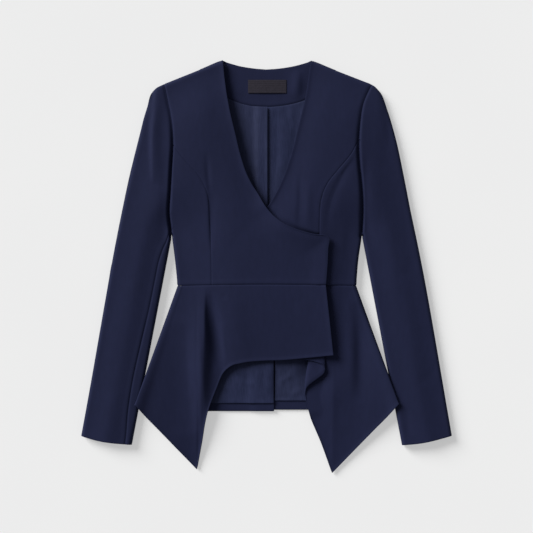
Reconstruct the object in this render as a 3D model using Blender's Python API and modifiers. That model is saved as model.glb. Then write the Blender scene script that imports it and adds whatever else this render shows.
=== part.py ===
# A fitted wrap jacket with a peplum, laid flat on its back.
# Right and left are the wearer's, so right is at -X. +Y runs to the neck, +Z up, and Z = 0 is the
# surface that the back lies on. Tables are in millimetres, objects in metres.

import math
from collections import namedtuple

import bmesh
import bpy
import numpy as np

MM = 0.001

# Driving dimensions
EDGE_RADIUS = 6.5  # half height of the rolled sides, and the height of the side seams
CROWN = 9.0  # how far the middle of the body stands above its rolled sides
CROWN_REACH = 55.0
NECK_DROOP = 0.38  # share by which the fronts sink towards the back along the neckline
NECK_REACH = 32.0
SHELL = 1.6  # crepe with its interfacing
LINING = 1.0
SEAM = 0.27  # each panel stops this far short of a flat seam
ROLL_SEAM = 0.6  # and this far short of a seam on a rolled edge
ARM_SEAM = 0.8  # and the sleeves this far short of the armholes, where both walls turn
SQUEEZED = 12.0  # points this close to a seam slide along the panel to make room for its gap
CLEAR = 0.3  # air between pieces that lie on each other
WRAP_RISE = 1.2  # how much higher the wrap lies than a single front
WRAP_LIP = 2.2  # further rise along the free edge of the wrap
UNDER_DROP = 3.2  # how far the under front sinks beneath the wrap
CORNER_RISE = 9.7  # peplum corners climb onto the sleeves by this much
CORNER_RADIUS = 2.2  # the side roll closes to this at the corners
TUCK_OPENS = 0.22  # the tucked folds of the left peplum stay gathered down to this share of its length
RAMP = 26.0  # length of back peplum that falls from the sleeve to the surface
VENT_TOP = -70.0
VENT_SLANT = 20.0  # the vent edges spread over this much below it
HEM_TURN_UP = 22.0
HEM_FOLD = 1.8  # half height of the turned-up hem, outside
FACING = 1.2
LABEL = 0.7
LABEL_BOW = 0.7  # the label's middle stands this much higher than its ends
LAP_LIFT = SHELL + CLEAR  # the right half of the vent lies on the left half
PLEAT_LIFT = LINING + CLEAR  # and the right half of the lining on the left half
PLEAT_EDGE = {"right": 1.9, "left": -10.0}  # x of the pleat's fold, and of the half beneath it
LINING_INSET = 9.0  # linings end this far inside the rolled sides
LINING_HEM_INSET = 36.0  # and this far at the peplum corners
LINING_TOP = 312.0  # the linings start below the shoulder rolls

# Waist seam
WAIST_Y = -30.6
WAIST_SAG = 2.7  # it is lower by this at the side seams
HALF_WAIST = 157.0

# Outlines, as x and y from the centre of the jacket
SHOULDER = {
    "right": ((-76.5, 362.3), (-179.2, 321.1)),
    "left": ((78.1, 361.7), (184.8, 320.3)),
}
ARMHOLE = {
    "right": ((-165.9, 54.3), (-170.0, 94.5), (-168.0, 127.8), (-165.9, 173.3), (-163.6, 217.0),
              (-167.0, 261.8), (-172.6, 288.8), (-179.2, 321.1)),
    "left": ((167.7, 54.3), (168.9, 105.5), (166.6, 150.2), (163.3, 183.8), (162.1, 219.5),
             (164.3, 250.6), (169.9, 286.3), (184.8, 320.3)),
}
SIDE_SEAM = {
    "right": ((-165.9, 54.3), (-160.6, 13.0), (-155.9, -33.3)),
    "left": ((167.7, 54.3), (161.6, 13.0), (157.7, -33.3)),
}
SLEEVE_OUTER = {
    "right": ((-179.2, 321.1), (-188.0, 318.5), (-195.0, 313.3), (-201.1, 298.4), (-208.1, 281.8),
              (-216.0, 260.8), (-222.1, 232.8), (-229.1, 204.8), (-324.8, -295.8)),
    "left": ((184.8, 320.3), (191.0, 318.2), (198.8, 308.0), (204.1, 297.5), (212.8, 274.8),
             (221.6, 246.8), (228.6, 218.8), (251.3, 106.8), (274.1, -5.3), (325.3, -295.4)),
}
CUFF = {
    "right": ((-235.9, -311.5), (-274.8, -307.7), (-300.0, -303.1), (-324.8, -295.8)),
    "left": ((237.8, -312.2), (266.5, -309.2), (296.6, -303.1), (325.3, -295.4)),
}
PRINCESS = {
    "right": ((-163.6, 213.5), (-143.5, 188.1), (-116.7, 157.0), (-103.4, 130.0), (-98.9, 83.3),
              (-96.6, 28.0), (-95.7, -31.6)),
    "left": ((162.1, 224.0), (147.7, 197.1), (127.6, 172.6), (105.2, 143.5), (96.3, 121.1),
             (92.9, 83.3), (93.5, 28.0), (94.5, -31.6)),
}
CORNER_OF_WRAP = (108.2, 53.4)
NECKLINE = {
    "right": ((-76.5, 362.3), (-72.3, 322.0), (-63.7, 271.3), (-53.7, 229.8), (-45.3, 194.8),
              (-27.5, 148.0), (-16.3, 130.6), (-0.4, 104.1), (18.0, 84.2), (40.8, 70.2),
              (65.5, 61.4), (94.0, 55.0), CORNER_OF_WRAP),
    "left": ((78.1, 361.7), (75.1, 339.9), (69.5, 302.1), (62.8, 273.0), (58.3, 255.2),
             (45.0, 201.6), (27.1, 150.2), (13.7, 123.4), (0.4, 103.3), (-18.0, 84.2),
             (-40.8, 70.2), (-65.5, 61.4), (-94.0, 55.0), (-108.2, 53.4)),
}
FREE_EDGE = {
    "right": (CORNER_OF_WRAP, (106.2, 1.9), (103.4, -31.8)),
    "left": ((-108.2, 53.4), (-104.0, 1.9), (-100.0, -31.7)),
}
BACK_NECK = ((-76.5, 362.3), (-55.0, 355.3), (-27.0, 350.0), (1.0, 347.4), (29.0, 350.0),
             (57.0, 355.3), (78.1, 361.7))
FACING_HEM = ((-122.0, 331.0), (-92.0, 310.5), (-57.2, 292.6), (-34.5, 285.3), (-4.9, 281.9),
              (21.9, 283.3), (48.7, 287.9), (64.6, 292.6), (95.0, 308.5), (124.0, 330.0))
PEPLUM_CORNER = {"right": (-230.5, -241.5), "left": (232.4, -239.8)}
LABEL_CENTRE = (1.5, 317.1)
LABEL_SIZE = (67.4, 23.4)

# Folds of the front peplums, from the side seam to the free edge. Each runs down from the waist
# seam at waist_x to the hem at hem_x, hem_y and hem_z, and stands swell above the straight run
# between. A tuck of 1 keeps a fold gathered under the wrap and lets it open out below.
PeplumFold = namedtuple("PeplumFold", ("waist_x", "hem_x", "hem_y", "hem_z", "swell", "tuck"))
PEPLUM_FOLDS = {
    "right": (
        (-146.0, -214.0, -258.9, 13.5, 1.0, 0),
        (-141.0, -190.0, -284.1, 7.5, 2.0, 0),
        (-134.0, -158.0, -317.8, 5.5, 5.0, 0),
        (-121.0, -122.3, -355.3, 3.2, 9.5, 0),
        (-114.0, -112.9, -305.5, 6.5, 7.0, 0),
        (-110.0, -103.4, -255.3, 7.0, 2.0, 0),
        (-106.0, -91.9, -224.5, 7.5, -5.0, 0),
        (-101.0, -81.6, -196.2, 9.5, -5.0, 0),
        (-92.0, -67.4, -175.7, 15.5, 0.0, 0),
        (-74.0, -46.2, -168.0, 17.8, 1.0, 0),
        (-30.0, -11.2, -163.6, 17.5, 0.0, 0),
        (15.0, 27.0, -162.3, 17.5, 0.0, 0),
        (60.0, 66.7, -158.9, 18.0, 0.0, 0),
        (103.4, 116.7, -153.8, 20.0, 0.5, 0),
    ),
    "left": (
        (148.5, 214.9, -258.1, 13.5, 1.0, 0),
        (143.0, 189.1, -284.9, 7.5, 2.0, 0),
        (134.0, 154.1, -321.5, 5.5, 4.0, 0),
        (118.0, 115.5, -361.7, 3.2, 6.0, 0),
        (108.0, 97.5, -311.7, 5.0, 1.0, 0),
        (98.0, 74.4, -253.9, 7.6, 0.0, 1),
        (92.0, 69.2, -232.0, 7.9, 0.0, 1),
        (89.5, 67.9, -219.0, 8.8, 0.0, 1),
        (88.0, 70.5, -210.4, 9.7, 0.0, 1),
        (86.0, 87.3, -196.2, 9.8, 0.0, 1),
        (84.0, 101.3, -184.5, 10.1, 0.0, 1),
        (82.5, 103.4, -178.0, 12.0, 0.0, 1),
        (81.0, 101.3, -172.6, 14.0, 0.0, 1),
        (76.0, 87.3, -165.9, 14.1, 0.0, 1),
        (66.0, 66.7, -162.2, 14.0, 0.0, 0),
        (20.0, 22.0, -158.0, 13.6, 0.0, 0),
        (-30.0, -20.0, -157.0, 13.4, 0.0, 0),
        (-100.0, -58.0, -156.0, 13.2, 0.0, 0),
    ),
}

# Sections of the back peplum: distances from the side roll over the ramp, and from the vent edge
RAMP_STEPS = (3.0, 8.0, 14.0, 20.0, 30.0)
LAP_STEPS = (46.0, 30.0, 20.0, 0.0)
VENT_EDGE = {"right": 13.5, "left": -14.0}  # x of each edge below the top of the vent
BACK_HEM_Y = {"right": -253.4, "left": -251.0}
LINING_HEM_Y = {"right": -239.0, "left": -234.5}

# Sections of the sleeves: where each starts on the inner edge and ends on the outer edge, as
# shares of those edges, and the distance of the forearm seam from the inner edge there
SleeveSection = namedtuple("SleeveSection", ("inner", "outer", "forearm_seam"))
SLEEVE_SECTIONS = (
    (0.0, 0.0, 14.0),
    (0.008, 0.035, 14.0),
    (0.018, 0.09, 14.0),
    (0.03, 0.17, 14.0),
    (0.05, 0.27, 14.0),
    (0.085, 0.37, 14.0),
    (0.14, 0.46, 14.0),
    (0.23, 0.54, 14.0),
    (0.36, 0.62, 14.5),
    (0.52, 0.71, 17.0),
    (0.69, 0.815, 19.0),
    (0.85, 0.91, 17.0),
    (0.96, 0.975, 12.5),
    (1.0, 1.0, 11.5),
)
ARMHOLE_BOW_FADES = 0.12  # share of the sleeve's length over which its rows leave the armhole's curve
HINDARM_SAMPLES_FROM_OUTER_EDGE = 6

# Distances from a rolled edge at which a panel is sampled, so that it follows the roll
ROLL_ANGLES = (0.0, 12.0, 35.0, 60.0, 90.0)
ROLL = tuple(EDGE_RADIUS * (1.0 - math.cos(math.radians(angle))) for angle in ROLL_ANGLES)


# Curves


def curve(points, steps=12):
    """Dense points along a smooth curve through the given points."""
    points = np.array(points, float)
    gaps = np.linalg.norm(np.diff(points, axis=0), axis=1)[:, None]
    slopes = np.diff(points, axis=0) / gaps
    inner = (slopes[:-1] * gaps[1:] + slopes[1:] * gaps[:-1]) / (gaps[:-1] + gaps[1:])
    tangents = np.vstack([slopes[:1], inner, slopes[-1:]])
    t = np.linspace(0.0, 1.0, steps, endpoint=False)[:, None]
    spans = []
    for index, gap in enumerate(gaps):
        start = points[index]
        end = points[index + 1]
        leave = tangents[index] * gap
        arrive = tangents[index + 1] * gap
        spans.append(
            (2 * t**3 - 3 * t**2 + 1) * start
            + (t**3 - 2 * t**2 + t) * leave
            + (3 * t**2 - 2 * t**3) * end
            + (t**3 - t**2) * arrive
        )
    spans.append(points[-1:])
    return np.vstack(spans)


def path_marks(path):
    """Distance of each point of a path from its start."""
    return np.concatenate([[0.0], np.cumsum(np.linalg.norm(np.diff(path, axis=0), axis=1))])


def length_of(path):
    return float(path_marks(path)[-1])


def along(path, distances):
    """Points at the given distances along a path."""
    marks = path_marks(path)
    return np.column_stack([np.interp(distances, marks, path[:, axis]) for axis in (0, 1)])


def spread(path, count):
    """Evenly spaced points along a path."""
    return along(path, np.linspace(0.0, length_of(path), count))


def ease(value):
    """Rises smoothly from 0 to 1 as value does."""
    value = np.clip(value, 0.0, 1.0)
    return value * value * (3.0 - 2.0 * value)


def distance_to(path, x, y):
    """Distance from each point to the nearest part of a path."""
    points = np.stack([np.asarray(x, float), np.asarray(y, float)], axis=-1)[..., None, :]
    start = path[:-1]
    run = path[1:] - start
    share = ((points - start) * run).sum(-1) / np.maximum((run * run).sum(-1), 1e-9)
    nearest = start + np.clip(share, 0.0, 1.0)[..., None] * run
    return np.linalg.norm(points - nearest, axis=-1).min(-1)


# Heights of the laid garment


def waist_y(x):
    return WAIST_Y - WAIST_SAG * (x / HALF_WAIST) ** 2


def rolled_outline():
    """Where the jacket folds over from front to back: shoulders, sleeves and sides."""
    paths = []
    for side in ("right", "left"):
        outer = curve(SLEEVE_OUTER[side])
        paths.append(np.vstack([SHOULDER[side][0], outer]))
        paths.append(np.vstack([CUFF[side][0], curve(SIDE_SEAM[side])]))
    return paths


OUTLINE = rolled_outline()
UPPER_NECKLINES = [curve(NECKLINE["right"][:8]), curve(NECKLINE["left"][:9])]
WRAP_EDGE = np.vstack([curve(NECKLINE["right"][7:]), curve(FREE_EDGE["right"])])


def edge_distance(x, y):
    return np.minimum.reduce([distance_to(path, x, y) for path in OUTLINE])


def roll(distance, radius=EDGE_RADIUS):
    inside = np.clip(distance, 0.0, radius)
    return np.sqrt(radius**2 - (radius - inside) ** 2)


def front_height(x, y):
    """Outer face of a single front, and of the sleeves' upper side."""
    distance = edge_distance(x, y)
    past_roll = np.clip(distance - EDGE_RADIUS, 0.0, None)
    crown = CROWN * (1.0 - np.exp(-((past_roll / CROWN_REACH) ** 2)))
    neck = np.minimum.reduce([distance_to(path, x, y) for path in UPPER_NECKLINES])
    droop = 1.0 - NECK_DROOP * np.exp(-((neck / NECK_REACH) ** 2))
    return EDGE_RADIUS + (roll(distance) + crown) * droop


def back_height(x, y):
    """Outer face of the back and of the sleeves' underside."""
    return EDGE_RADIUS - roll(edge_distance(x, y))


def wrap_height(x, y):
    """Outer face of the wrap, which lies on the under front."""
    rise = WRAP_RISE * ease((x + 95.0) / 40.0)
    lip = WRAP_LIP * np.exp(-((distance_to(WRAP_EDGE, x, y) / 22.0) ** 2)) * ease((x + 60.0) / 60.0)
    return front_height(x, y) + rise + lip


def under_height(x, y):
    """Outer face of the under front, which sinks where the wrap covers it."""
    upper = np.interp(x, WRAP_EDGE[:, 0], WRAP_EDGE[:, 1]) - y
    beside = np.interp(-y, -WRAP_EDGE[:, 1], WRAP_EDGE[:, 0]) - x
    inside = np.where(x < 0.0, CORNER_OF_WRAP[1] + 50.0 - y, np.minimum(upper, beside))
    return front_height(x, y) - UNDER_DROP * ease(inside / 14.0)


# Panels, as grids of points: rows run down the garment, columns across it


def shares_across(width, steps_at_edge, others):
    """Shares of a row's width, close together over the roll at its start."""
    rest = np.linspace(steps_at_edge[-1], width, others + 1)[1:]
    return np.concatenate([steps_at_edge, rest]) / width


def rows_between(starts, ends, shares):
    """Straight rows from each start to each end, sampled at that row's shares."""
    return np.stack([start + share[:, None] * (end - start)
                     for start, end, share in zip(starts, ends, shares)])


def to_waist(grid, rows=4):
    """Bends the last rows so that the panel ends on the waist seam."""
    shift = waist_y(grid[-1, :, 0]) - grid[-1, :, 1]
    for step in range(1, rows + 1):
        grid[step - 1 - rows, :, 1] += shift * step / rows
    return grid


def with_height(grid, height):
    return np.dstack([grid, height(grid[..., 0], grid[..., 1])])


def armhole_distances(side):
    """Distances from the underarm: over the roll there, up to the princess seam, to the shoulder."""
    path = curve(ARMHOLE[side])
    marks = path_marks(path)
    seam = float(np.interp(PRINCESS[side][0][1], path[:, 1], marks))
    lower = [*ROLL, 14.0, 35.0, 70.0, 112.0, seam]
    upper = [seam + 30.0, seam + 56.0, *(marks[-1] - step for step in reversed(ROLL))]
    return lower, upper


def armhole_points(side):
    lower, upper = armhole_distances(side)
    path = curve(ARMHOLE[side])
    return along(path, lower), along(path, upper)


def side_points(side):
    """Points down the side seam, from just under the arm to the waist."""
    path = curve(SIDE_SEAM[side])
    return along(path, np.array([8.0, 24.0, 46.0, 68.0, length_of(path)]))


def princess_points(side):
    """Points down the princess seam, one for each row of the panels that it joins."""
    lower, _ = armhole_points(side)
    path = curve((lower[-1], *PRINCESS[side][1:]))
    return spread(path, len(lower) + len(side_points(side)))


def side_front(side):
    lower, _ = armhole_points(side)
    outer = np.vstack([lower[::-1], side_points(side)])
    inner = princess_points(side)
    inner[0] = outer[0] + 0.02 * (inner[1] - outer[0])
    shares = []
    for index, (start, end) in enumerate(zip(outer, inner)):
        width = float(np.linalg.norm(end - start))
        above_arm = float(np.linalg.norm(start - outer[len(lower) - 1])) if index < len(lower) else 0.0
        even = np.linspace(0.0, 1.0, len(ROLL) + 4)
        rolled = shares_across(max(width, 30.0), ROLL, 4)
        weight = float(ease(above_arm / 16.0))
        shares.append(even * weight + rolled * (1.0 - weight))
    return with_height(to_waist(rows_between(outer, inner, shares)), front_height)


def centre_front(side, height):
    _, upper = armhole_points(side)
    outer = np.vstack([upper[::-1], princess_points(side)])
    neck = curve(NECKLINE[side])
    edge = curve(FREE_EDGE[side])
    edge_rows = 4
    neck_rows = len(outer) - len(ROLL) - edge_rows
    reach = length_of(neck)
    steps = np.concatenate([ROLL, np.linspace(ROLL[-1], reach, neck_rows + 1)[1:]])
    inner = np.vstack([along(neck, steps), spread(edge, edge_rows + 1)[1:]])
    shares = [np.linspace(0.0, 1.0, 10)] * len(outer)
    return with_height(to_waist(rows_between(outer, inner, shares)), height)


def bent_rows(outer, inner, top, shares, straight_rows):
    """Rows between two edges: the first follows top, and the bend fades out further down.

    The first straight_rows rows keep the whole bend."""
    run = np.linalg.norm(top - top[0], axis=1)
    run = run / run[-1]
    bend = top - (top[0] + run[:, None] * (top[-1] - top[0]))
    grid = []
    for index, (start, end) in enumerate(zip(outer, inner)):
        weight = 1.0 - float(ease((index - straight_rows + 1) / (0.6 * len(outer))))
        share = shares * (1.0 - weight) + run * weight
        grid.append(start + share[:, None] * (end - start) + weight * bend)
    return np.array(grid)


def back_panel(side):
    lower, upper = armhole_points(side)
    outer = np.vstack([upper[::-1], lower[::-1], side_points(side)])
    neck = curve(BACK_NECK)
    middle = len(neck) // 2
    half_neck = neck[: middle + 1] if side == "right" else neck[middle:][::-1]
    fall = half_neck[-1, 1] - WAIST_Y
    others = len(outer) - len(ROLL)
    drop = np.concatenate([ROLL, np.linspace(ROLL[-1], fall, others + 1)[1:]])
    centre = np.column_stack([np.zeros(len(outer)), half_neck[-1, 1] - drop])
    shoulder = np.array(SHOULDER[side][::-1])
    shoulder_steps = [*ROLL, 30.0, 65.0, length_of(shoulder)]
    neck_steps = [EDGE_RADIUS + 1.0, 30.0, 55.0, length_of(half_neck)]
    top = np.vstack([along(shoulder, shoulder_steps), along(half_neck, neck_steps)])
    top[-1, 0] = 0.0
    shares = shares_across(abs(outer[-1, 0]), ROLL, len(top) - len(ROLL))
    grid = bent_rows(outer, centre, top, shares, len(ROLL))
    return with_height(to_waist(grid), back_height)


# Sleeves


def sleeve_skins(side):
    """Upper and under skin of a sleeve, rows from armhole to cuff, columns from the inner edge."""
    lower, upper = armhole_points(side)
    armhole = np.vstack([lower, upper])
    marks = np.concatenate(armhole_distances(side))
    outer_path = curve(SLEEVE_OUTER[side])
    inner_path = np.array([ARMHOLE[side][0], CUFF[side][0]])
    cuff_path = curve(CUFF[side])
    between = np.linspace(0.0, 1.0, len(armhole) - 2 * len(ROLL) + 1)[1:-1]
    grid = []
    for section in map(SleeveSection._make, SLEEVE_SECTIONS):
        start = along(inner_path, [section.inner * length_of(inner_path)])[0]
        end = along(outer_path, [section.outer * length_of(outer_path)])[0]
        width = float(np.linalg.norm(end - start))
        forearm = section.forearm_seam
        middle = forearm + between * (width - EDGE_RADIUS - forearm)
        crossing = np.concatenate([ROLL, [forearm], middle, width - np.array(ROLL[::-1])])
        at_arm = marks / marks[-1]
        near = 1.0 - float(ease(section.inner / ARMHOLE_BOW_FADES))
        share = at_arm * near + crossing / width * (1.0 - near)
        row = start + share[:, None] * (end - start)
        bow = armhole - (armhole[0] + at_arm[:, None] * (armhole[-1] - armhole[0]))
        hem = along(cuff_path, share * length_of(cuff_path))
        sag = hem - (hem[0] + share[:, None] * (hem[-1] - hem[0]))
        grid.append(row + bow * near + sag * section.inner**6)
    grid = np.array(grid)
    return with_height(grid, front_height), with_height(grid, back_height)


def sleeve_panels(side):
    """Top sleeve and under sleeve, parted at the forearm and hindarm seams."""
    top, under = sleeve_skins(side)
    forearm = len(ROLL)
    hindarm = top.shape[1] - 1 - HINDARM_SAMPLES_FROM_OUTER_EDGE
    back_of_arm = under[:, :hindarm - 1:-1][:, 1:]
    if side == "right":
        upper = np.concatenate([top[:, forearm:], back_of_arm], axis=1)
        lower = np.concatenate([top[:, forearm:0:-1], under[:, : hindarm + 1]], axis=1)
        return upper, lower[:, ::-1]
    # The left sleeve is turned a little, which brings its forearm seam underneath.
    upper = np.concatenate([under[:, forearm:0:-1], top, back_of_arm], axis=1)
    return upper, under[:, forearm : hindarm + 1][:, ::-1]


# Peplum


def drop_share(t):
    """Share of its fall that the peplum has made at t of its length: level at the waist seam."""
    return t * t * (2.0 - t)


def bulge(t):
    """Rises from 0 at both ends to 1 halfway."""
    return 16.0 * t * t * (1.0 - t) ** 2


PEPLUM_ROWS = np.array([0.0, 0.08, 0.17, 0.27, 0.38, 0.5, 0.62, 0.74, 0.86, 1.0])


def side_line(side, t):
    """Side seam of the peplum: a point, its height and the radius of the roll there."""
    start = np.array(SIDE_SEAM[side][-1])
    end = np.array(PEPLUM_CORNER[side])
    height = EDGE_RADIUS + CORNER_RISE * drop_share(t)
    radius = EDGE_RADIUS + (CORNER_RADIUS - EDGE_RADIUS) * drop_share(t)
    return start + t * (end - start), height, radius


def rolled_columns(side, t, direction):
    """Points over the side roll: direction 1 for the front's half and -1 for the back's."""
    inward = 1.0 if side == "right" else -1.0
    edge, height, radius = side_line(side, t)
    return [[edge[0] + inward * radius * (1.0 - math.cos(math.radians(angle))), edge[1],
             height + direction * radius * math.sin(math.radians(angle))] for angle in ROLL_ANGLES]


def front_peplum(side, height):
    grid = []
    for t in PEPLUM_ROWS:
        row = rolled_columns(side, t, 1.0)
        for fold in map(PeplumFold._make, PEPLUM_FOLDS[side]):
            start_y = waist_y(fold.waist_x)
            start_z = float(height(fold.waist_x, start_y))
            gather = float(ease((t - TUCK_OPENS) / (1.0 - TUCK_OPENS))) if fold.tuck else t
            settle = float(ease(t / 0.3)) if fold.tuck else drop_share(t)
            row.append([
                fold.waist_x + gather * (fold.hem_x - fold.waist_x),
                start_y + t * (fold.hem_y - start_y),
                start_z + settle * (fold.hem_z - start_z) + fold.swell * bulge(t),
            ])
        grid.append(row)
    return np.array(grid)


def vent_edge_x(side, y):
    return VENT_EDGE[side] * ease((VENT_TOP - y) / VENT_SLANT)


def lap(x, y, lift):
    """Extra height of the right half where it lies on the left half, below the top of the vent."""
    return lift * ease((x + 32.0) / 12.0) * ease((VENT_TOP + 30.0 - y) / 22.0)


def hem_rise(side, x):
    """How much higher the back hem is at x than at the vent: it rises towards the corners."""
    corner_x, corner_y = PEPLUM_CORNER[side]
    inward = 1.0 if side == "right" else -1.0
    return (corner_y - BACK_HEM_Y[side]) * (1.0 - ease((x - corner_x) * inward / 90.0))


def back_peplum(side):
    """Outer face of the back peplum: down from the sleeve, flat, and over the lap at the vent."""
    inward = 1.0 if side == "right" else -1.0
    grid = []
    for t in PEPLUM_ROWS:
        edge, seam_z, radius = side_line(side, t)
        row = rolled_columns(side, t, -1.0)
        centre_y = WAIST_Y + t * (BACK_HEM_Y[side] + HEM_FOLD - WAIST_Y)
        reach = abs(vent_edge_x(side, centre_y) - edge[0])
        ramp = [radius + step for step in RAMP_STEPS]
        middle = list(np.linspace(ramp[-1], reach - LAP_STEPS[0], 4)[1:-1])
        for distance in (*ramp, *middle, *(reach - step for step in LAP_STEPS)):
            x = edge[0] + inward * distance
            level = (1.0 - t) * (1.0 - (x / HALF_WAIST) ** 2) + t * float(ease(distance / 90.0))
            y = edge[1] + (centre_y - edge[1]) * level
            z = (seam_z - radius) * (1.0 - float(ease((distance - radius) / RAMP)))
            if side == "right":
                z += float(lap(x, y, LAP_LIFT))
            row.append([x, y, z])
        grid.append(row)
    return np.array(grid)


def hem_turned_up(panel, columns):
    """Rows that fold the hem over the inside of the panel, from its last row."""
    hem = panel[-1, columns]
    rows = []
    for angle in (45.0, 90.0, 135.0, 180.0):
        back = HEM_FOLD * math.sin(math.radians(angle))
        rise = HEM_FOLD * (1.0 - math.cos(math.radians(angle)))
        rows.append(hem + [0.0, -back, rise])
    rows.append(rows[-1] + [0.0, HEM_TURN_UP - HEM_FOLD, 0.0])
    return np.array(rows)


# Inside of the back


def facing_edges():
    """Neckline and lower edge of the neck facing, clear of the rolled shoulders."""
    neck = curve(BACK_NECK)
    neck = neck[np.abs(neck[:, 0]) < 63.0] - [0.0, 0.6]
    return neck, curve(FACING_HEM)


def neck_facing():
    neck, hem = facing_edges()
    shares = np.linspace(0.0, 1.0, 5)[:, None, None]
    grid = spread(neck, 15) * (1.0 - shares) + spread(hem, 15) * shares
    return np.dstack([grid, np.full(grid.shape[:2], SHELL + CLEAR + FACING)])


def label():
    across = np.linspace(-0.5, 0.5, 9)
    down = np.linspace(0.5, -0.5, 3)
    base = SHELL + 2.0 * CLEAR + FACING + LABEL
    return np.array([[[LABEL_CENTRE[0] + LABEL_SIZE[0] * u,
                       LABEL_CENTRE[1] + LABEL_SIZE[1] * v,
                       base + LABEL_BOW * (1.0 - 4.0 * u * u)] for u in across] for v in down])


def back_lining(side):
    """Body lining, from the facing to the waist. The right half laps over the left at the pleat."""
    inward = 1.0 if side == "right" else -1.0
    pleat_x = PLEAT_EDGE[side]
    outer = np.vstack([curve(ARMHOLE[side])[::-1], curve(SIDE_SEAM[side])[1:]])
    outer = spread(outer[outer[:, 1] < LINING_TOP] + [inward * LINING_INSET, 0.0], 9)
    facing = curve(FACING_HEM) - [0.0, 0.8]
    facing = facing[facing[:, 0] < pleat_x] if side == "right" else facing[facing[:, 0] > pleat_x]
    if side == "left":
        facing = facing[::-1]
    top = spread(np.vstack([outer[0], facing, [pleat_x, facing[-1, 1]]]), 13)
    inner = np.column_stack([np.full(9, pleat_x), np.linspace(facing[-1, 1], waist_y(pleat_x), 9)])
    grid = to_waist(bent_rows(outer, inner, top, np.linspace(0.0, 1.0, 13), 1), 2)
    level = SHELL + CLEAR + LINING
    height = np.full(grid.shape[:2], level)
    if side == "right":
        height += PLEAT_LIFT * ease((grid[..., 0] + 24.0) / 10.0)
    return np.dstack([grid, height])


def peplum_lining(side):
    """Lining of the back peplum. It hangs over the turned-up hem."""
    inward = 1.0 if side == "right" else -1.0
    hem_y = LINING_HEM_Y[side]
    grid = []
    for t in (0.0, 0.1, 0.17, 0.27, 0.4, 0.6, 0.8, 0.9, 0.94, 0.98, 1.0):
        edge, _, _ = side_line(side, t)
        inset = LINING_INSET + (LINING_HEM_INSET - LINING_INSET) * float(ease(t / 0.2))
        y = WAIST_Y + t * (hem_y - WAIST_Y)
        start = edge[0] + inward * inset
        if side == "right":
            end = vent_edge_x(side, y) - 0.8 * float(ease((VENT_TOP - y) / VENT_SLANT))
        else:
            end = (VENT_EDGE["right"] + 1.2) * float(ease((VENT_TOP + VENT_SLANT - y) / VENT_SLANT))
        row = []
        for share in np.concatenate([np.linspace(0.0, 0.7, 6), [0.8, 0.86, 0.93, 1.0]]):
            x = start + share * (end - start)
            z = SHELL + 1.4 * CLEAR + LINING
            z += (2.0 * HEM_FOLD - SHELL + CLEAR) * float(ease((hem_y + 22.0 - y) / 8.0))
            if side == "right":
                z += float(lap(x + 4.0, y - 4.0, LAP_LIFT + 0.1))
            level = (1.0 - t) * (waist_y(x) - WAIST_Y) + t * float(hem_rise(side, x))
            row.append([x, y + level, z])
        grid.append(row)
    return np.array(grid)


# Solids


def trimmed(rows, amount):
    """Starts each row of points this far, square to the rows' common edge, along the row."""
    if amount == 0.0:
        return rows
    edge = np.gradient(rows[:, 0], axis=0)
    result = []
    for row, direction in zip(rows, edge):
        marks = np.concatenate([[0.0], np.cumsum(np.linalg.norm(np.diff(row, axis=0), axis=1))])
        probe = np.array([np.interp(3.0 * amount, marks, row[:, axis]) for axis in range(3)]) - row[0]
        squareness = np.linalg.norm(np.cross(probe, direction))
        squareness /= max(np.linalg.norm(probe) * np.linalg.norm(direction), 1e-9)
        start = amount / max(squareness, 0.5)
        zone = max(min(SQUEEZED, marks[-1]), 1e-3)
        moved = np.where(marks < zone, start + marks * (1.0 - start / zone), marks)
        result.append(np.column_stack([np.interp(moved, marks, row[:, axis]) for axis in range(3)]))
    return np.array(result)


def shorten(grid, first_row=0.0, last_row=0.0, first_column=0.0, last_column=0.0):
    """Trims the named edges of a grid along its surface, to leave air at the seams."""
    grid = trimmed(grid, first_column)
    grid = trimmed(grid[:, ::-1], last_column)[:, ::-1]
    across = grid.transpose(1, 0, 2)
    across = trimmed(across, first_row)
    across = trimmed(across[:, ::-1], last_row)[:, ::-1]
    return across.transpose(1, 0, 2)


def material(name, colour, roughness):
    made = bpy.data.materials.new(name)
    made.use_nodes = True
    shader = made.node_tree.nodes["Principled BSDF"]
    shader.inputs["Base Color"].default_value = (*colour, 1.0)
    shader.inputs["Roughness"].default_value = roughness
    shader.inputs["Metallic"].default_value = 0.0
    return made


def cloth(name, grid, thickness, finish, flip=False, flap=None):
    """A wall of cloth: the grid is its outer face, and the wall lies behind it.

    flap holds further rows, and the columns of the last row that they go on from."""
    shape = bmesh.new()
    rows = [[shape.verts.new(point * MM) for point in row] for row in grid]
    strips = [rows]
    if flap is not None:
        columns, flap_grid = flap
        flap_rows = [[shape.verts.new(point * MM) for point in row] for row in flap_grid]
        strips.append([rows[-1][columns], *flap_rows])
    for strip in strips:
        for upper, lower in zip(strip, strip[1:]):
            for index in range(len(upper) - 1):
                corners = (upper[index], lower[index], lower[index + 1], upper[index + 1])
                shape.faces.new(corners[::-1] if flip else corners)
    mesh = bpy.data.meshes.new(name)
    shape.to_mesh(mesh)
    shape.free()
    mesh.materials.append(finish)
    mesh.shade_smooth()
    mesh.set_sharp_from_angle(angle=math.radians(50.0))
    piece = bpy.data.objects.new(name, mesh)
    bpy.data.collections["peplum_jacket"].objects.link(piece)
    wall = piece.modifiers.new("wall", "SOLIDIFY")
    wall.thickness = thickness * MM
    wall.offset = -1.0
    wall.use_even_offset = False
    wall.thickness_clamp = 1.0
    return piece


# Pieces


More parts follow.
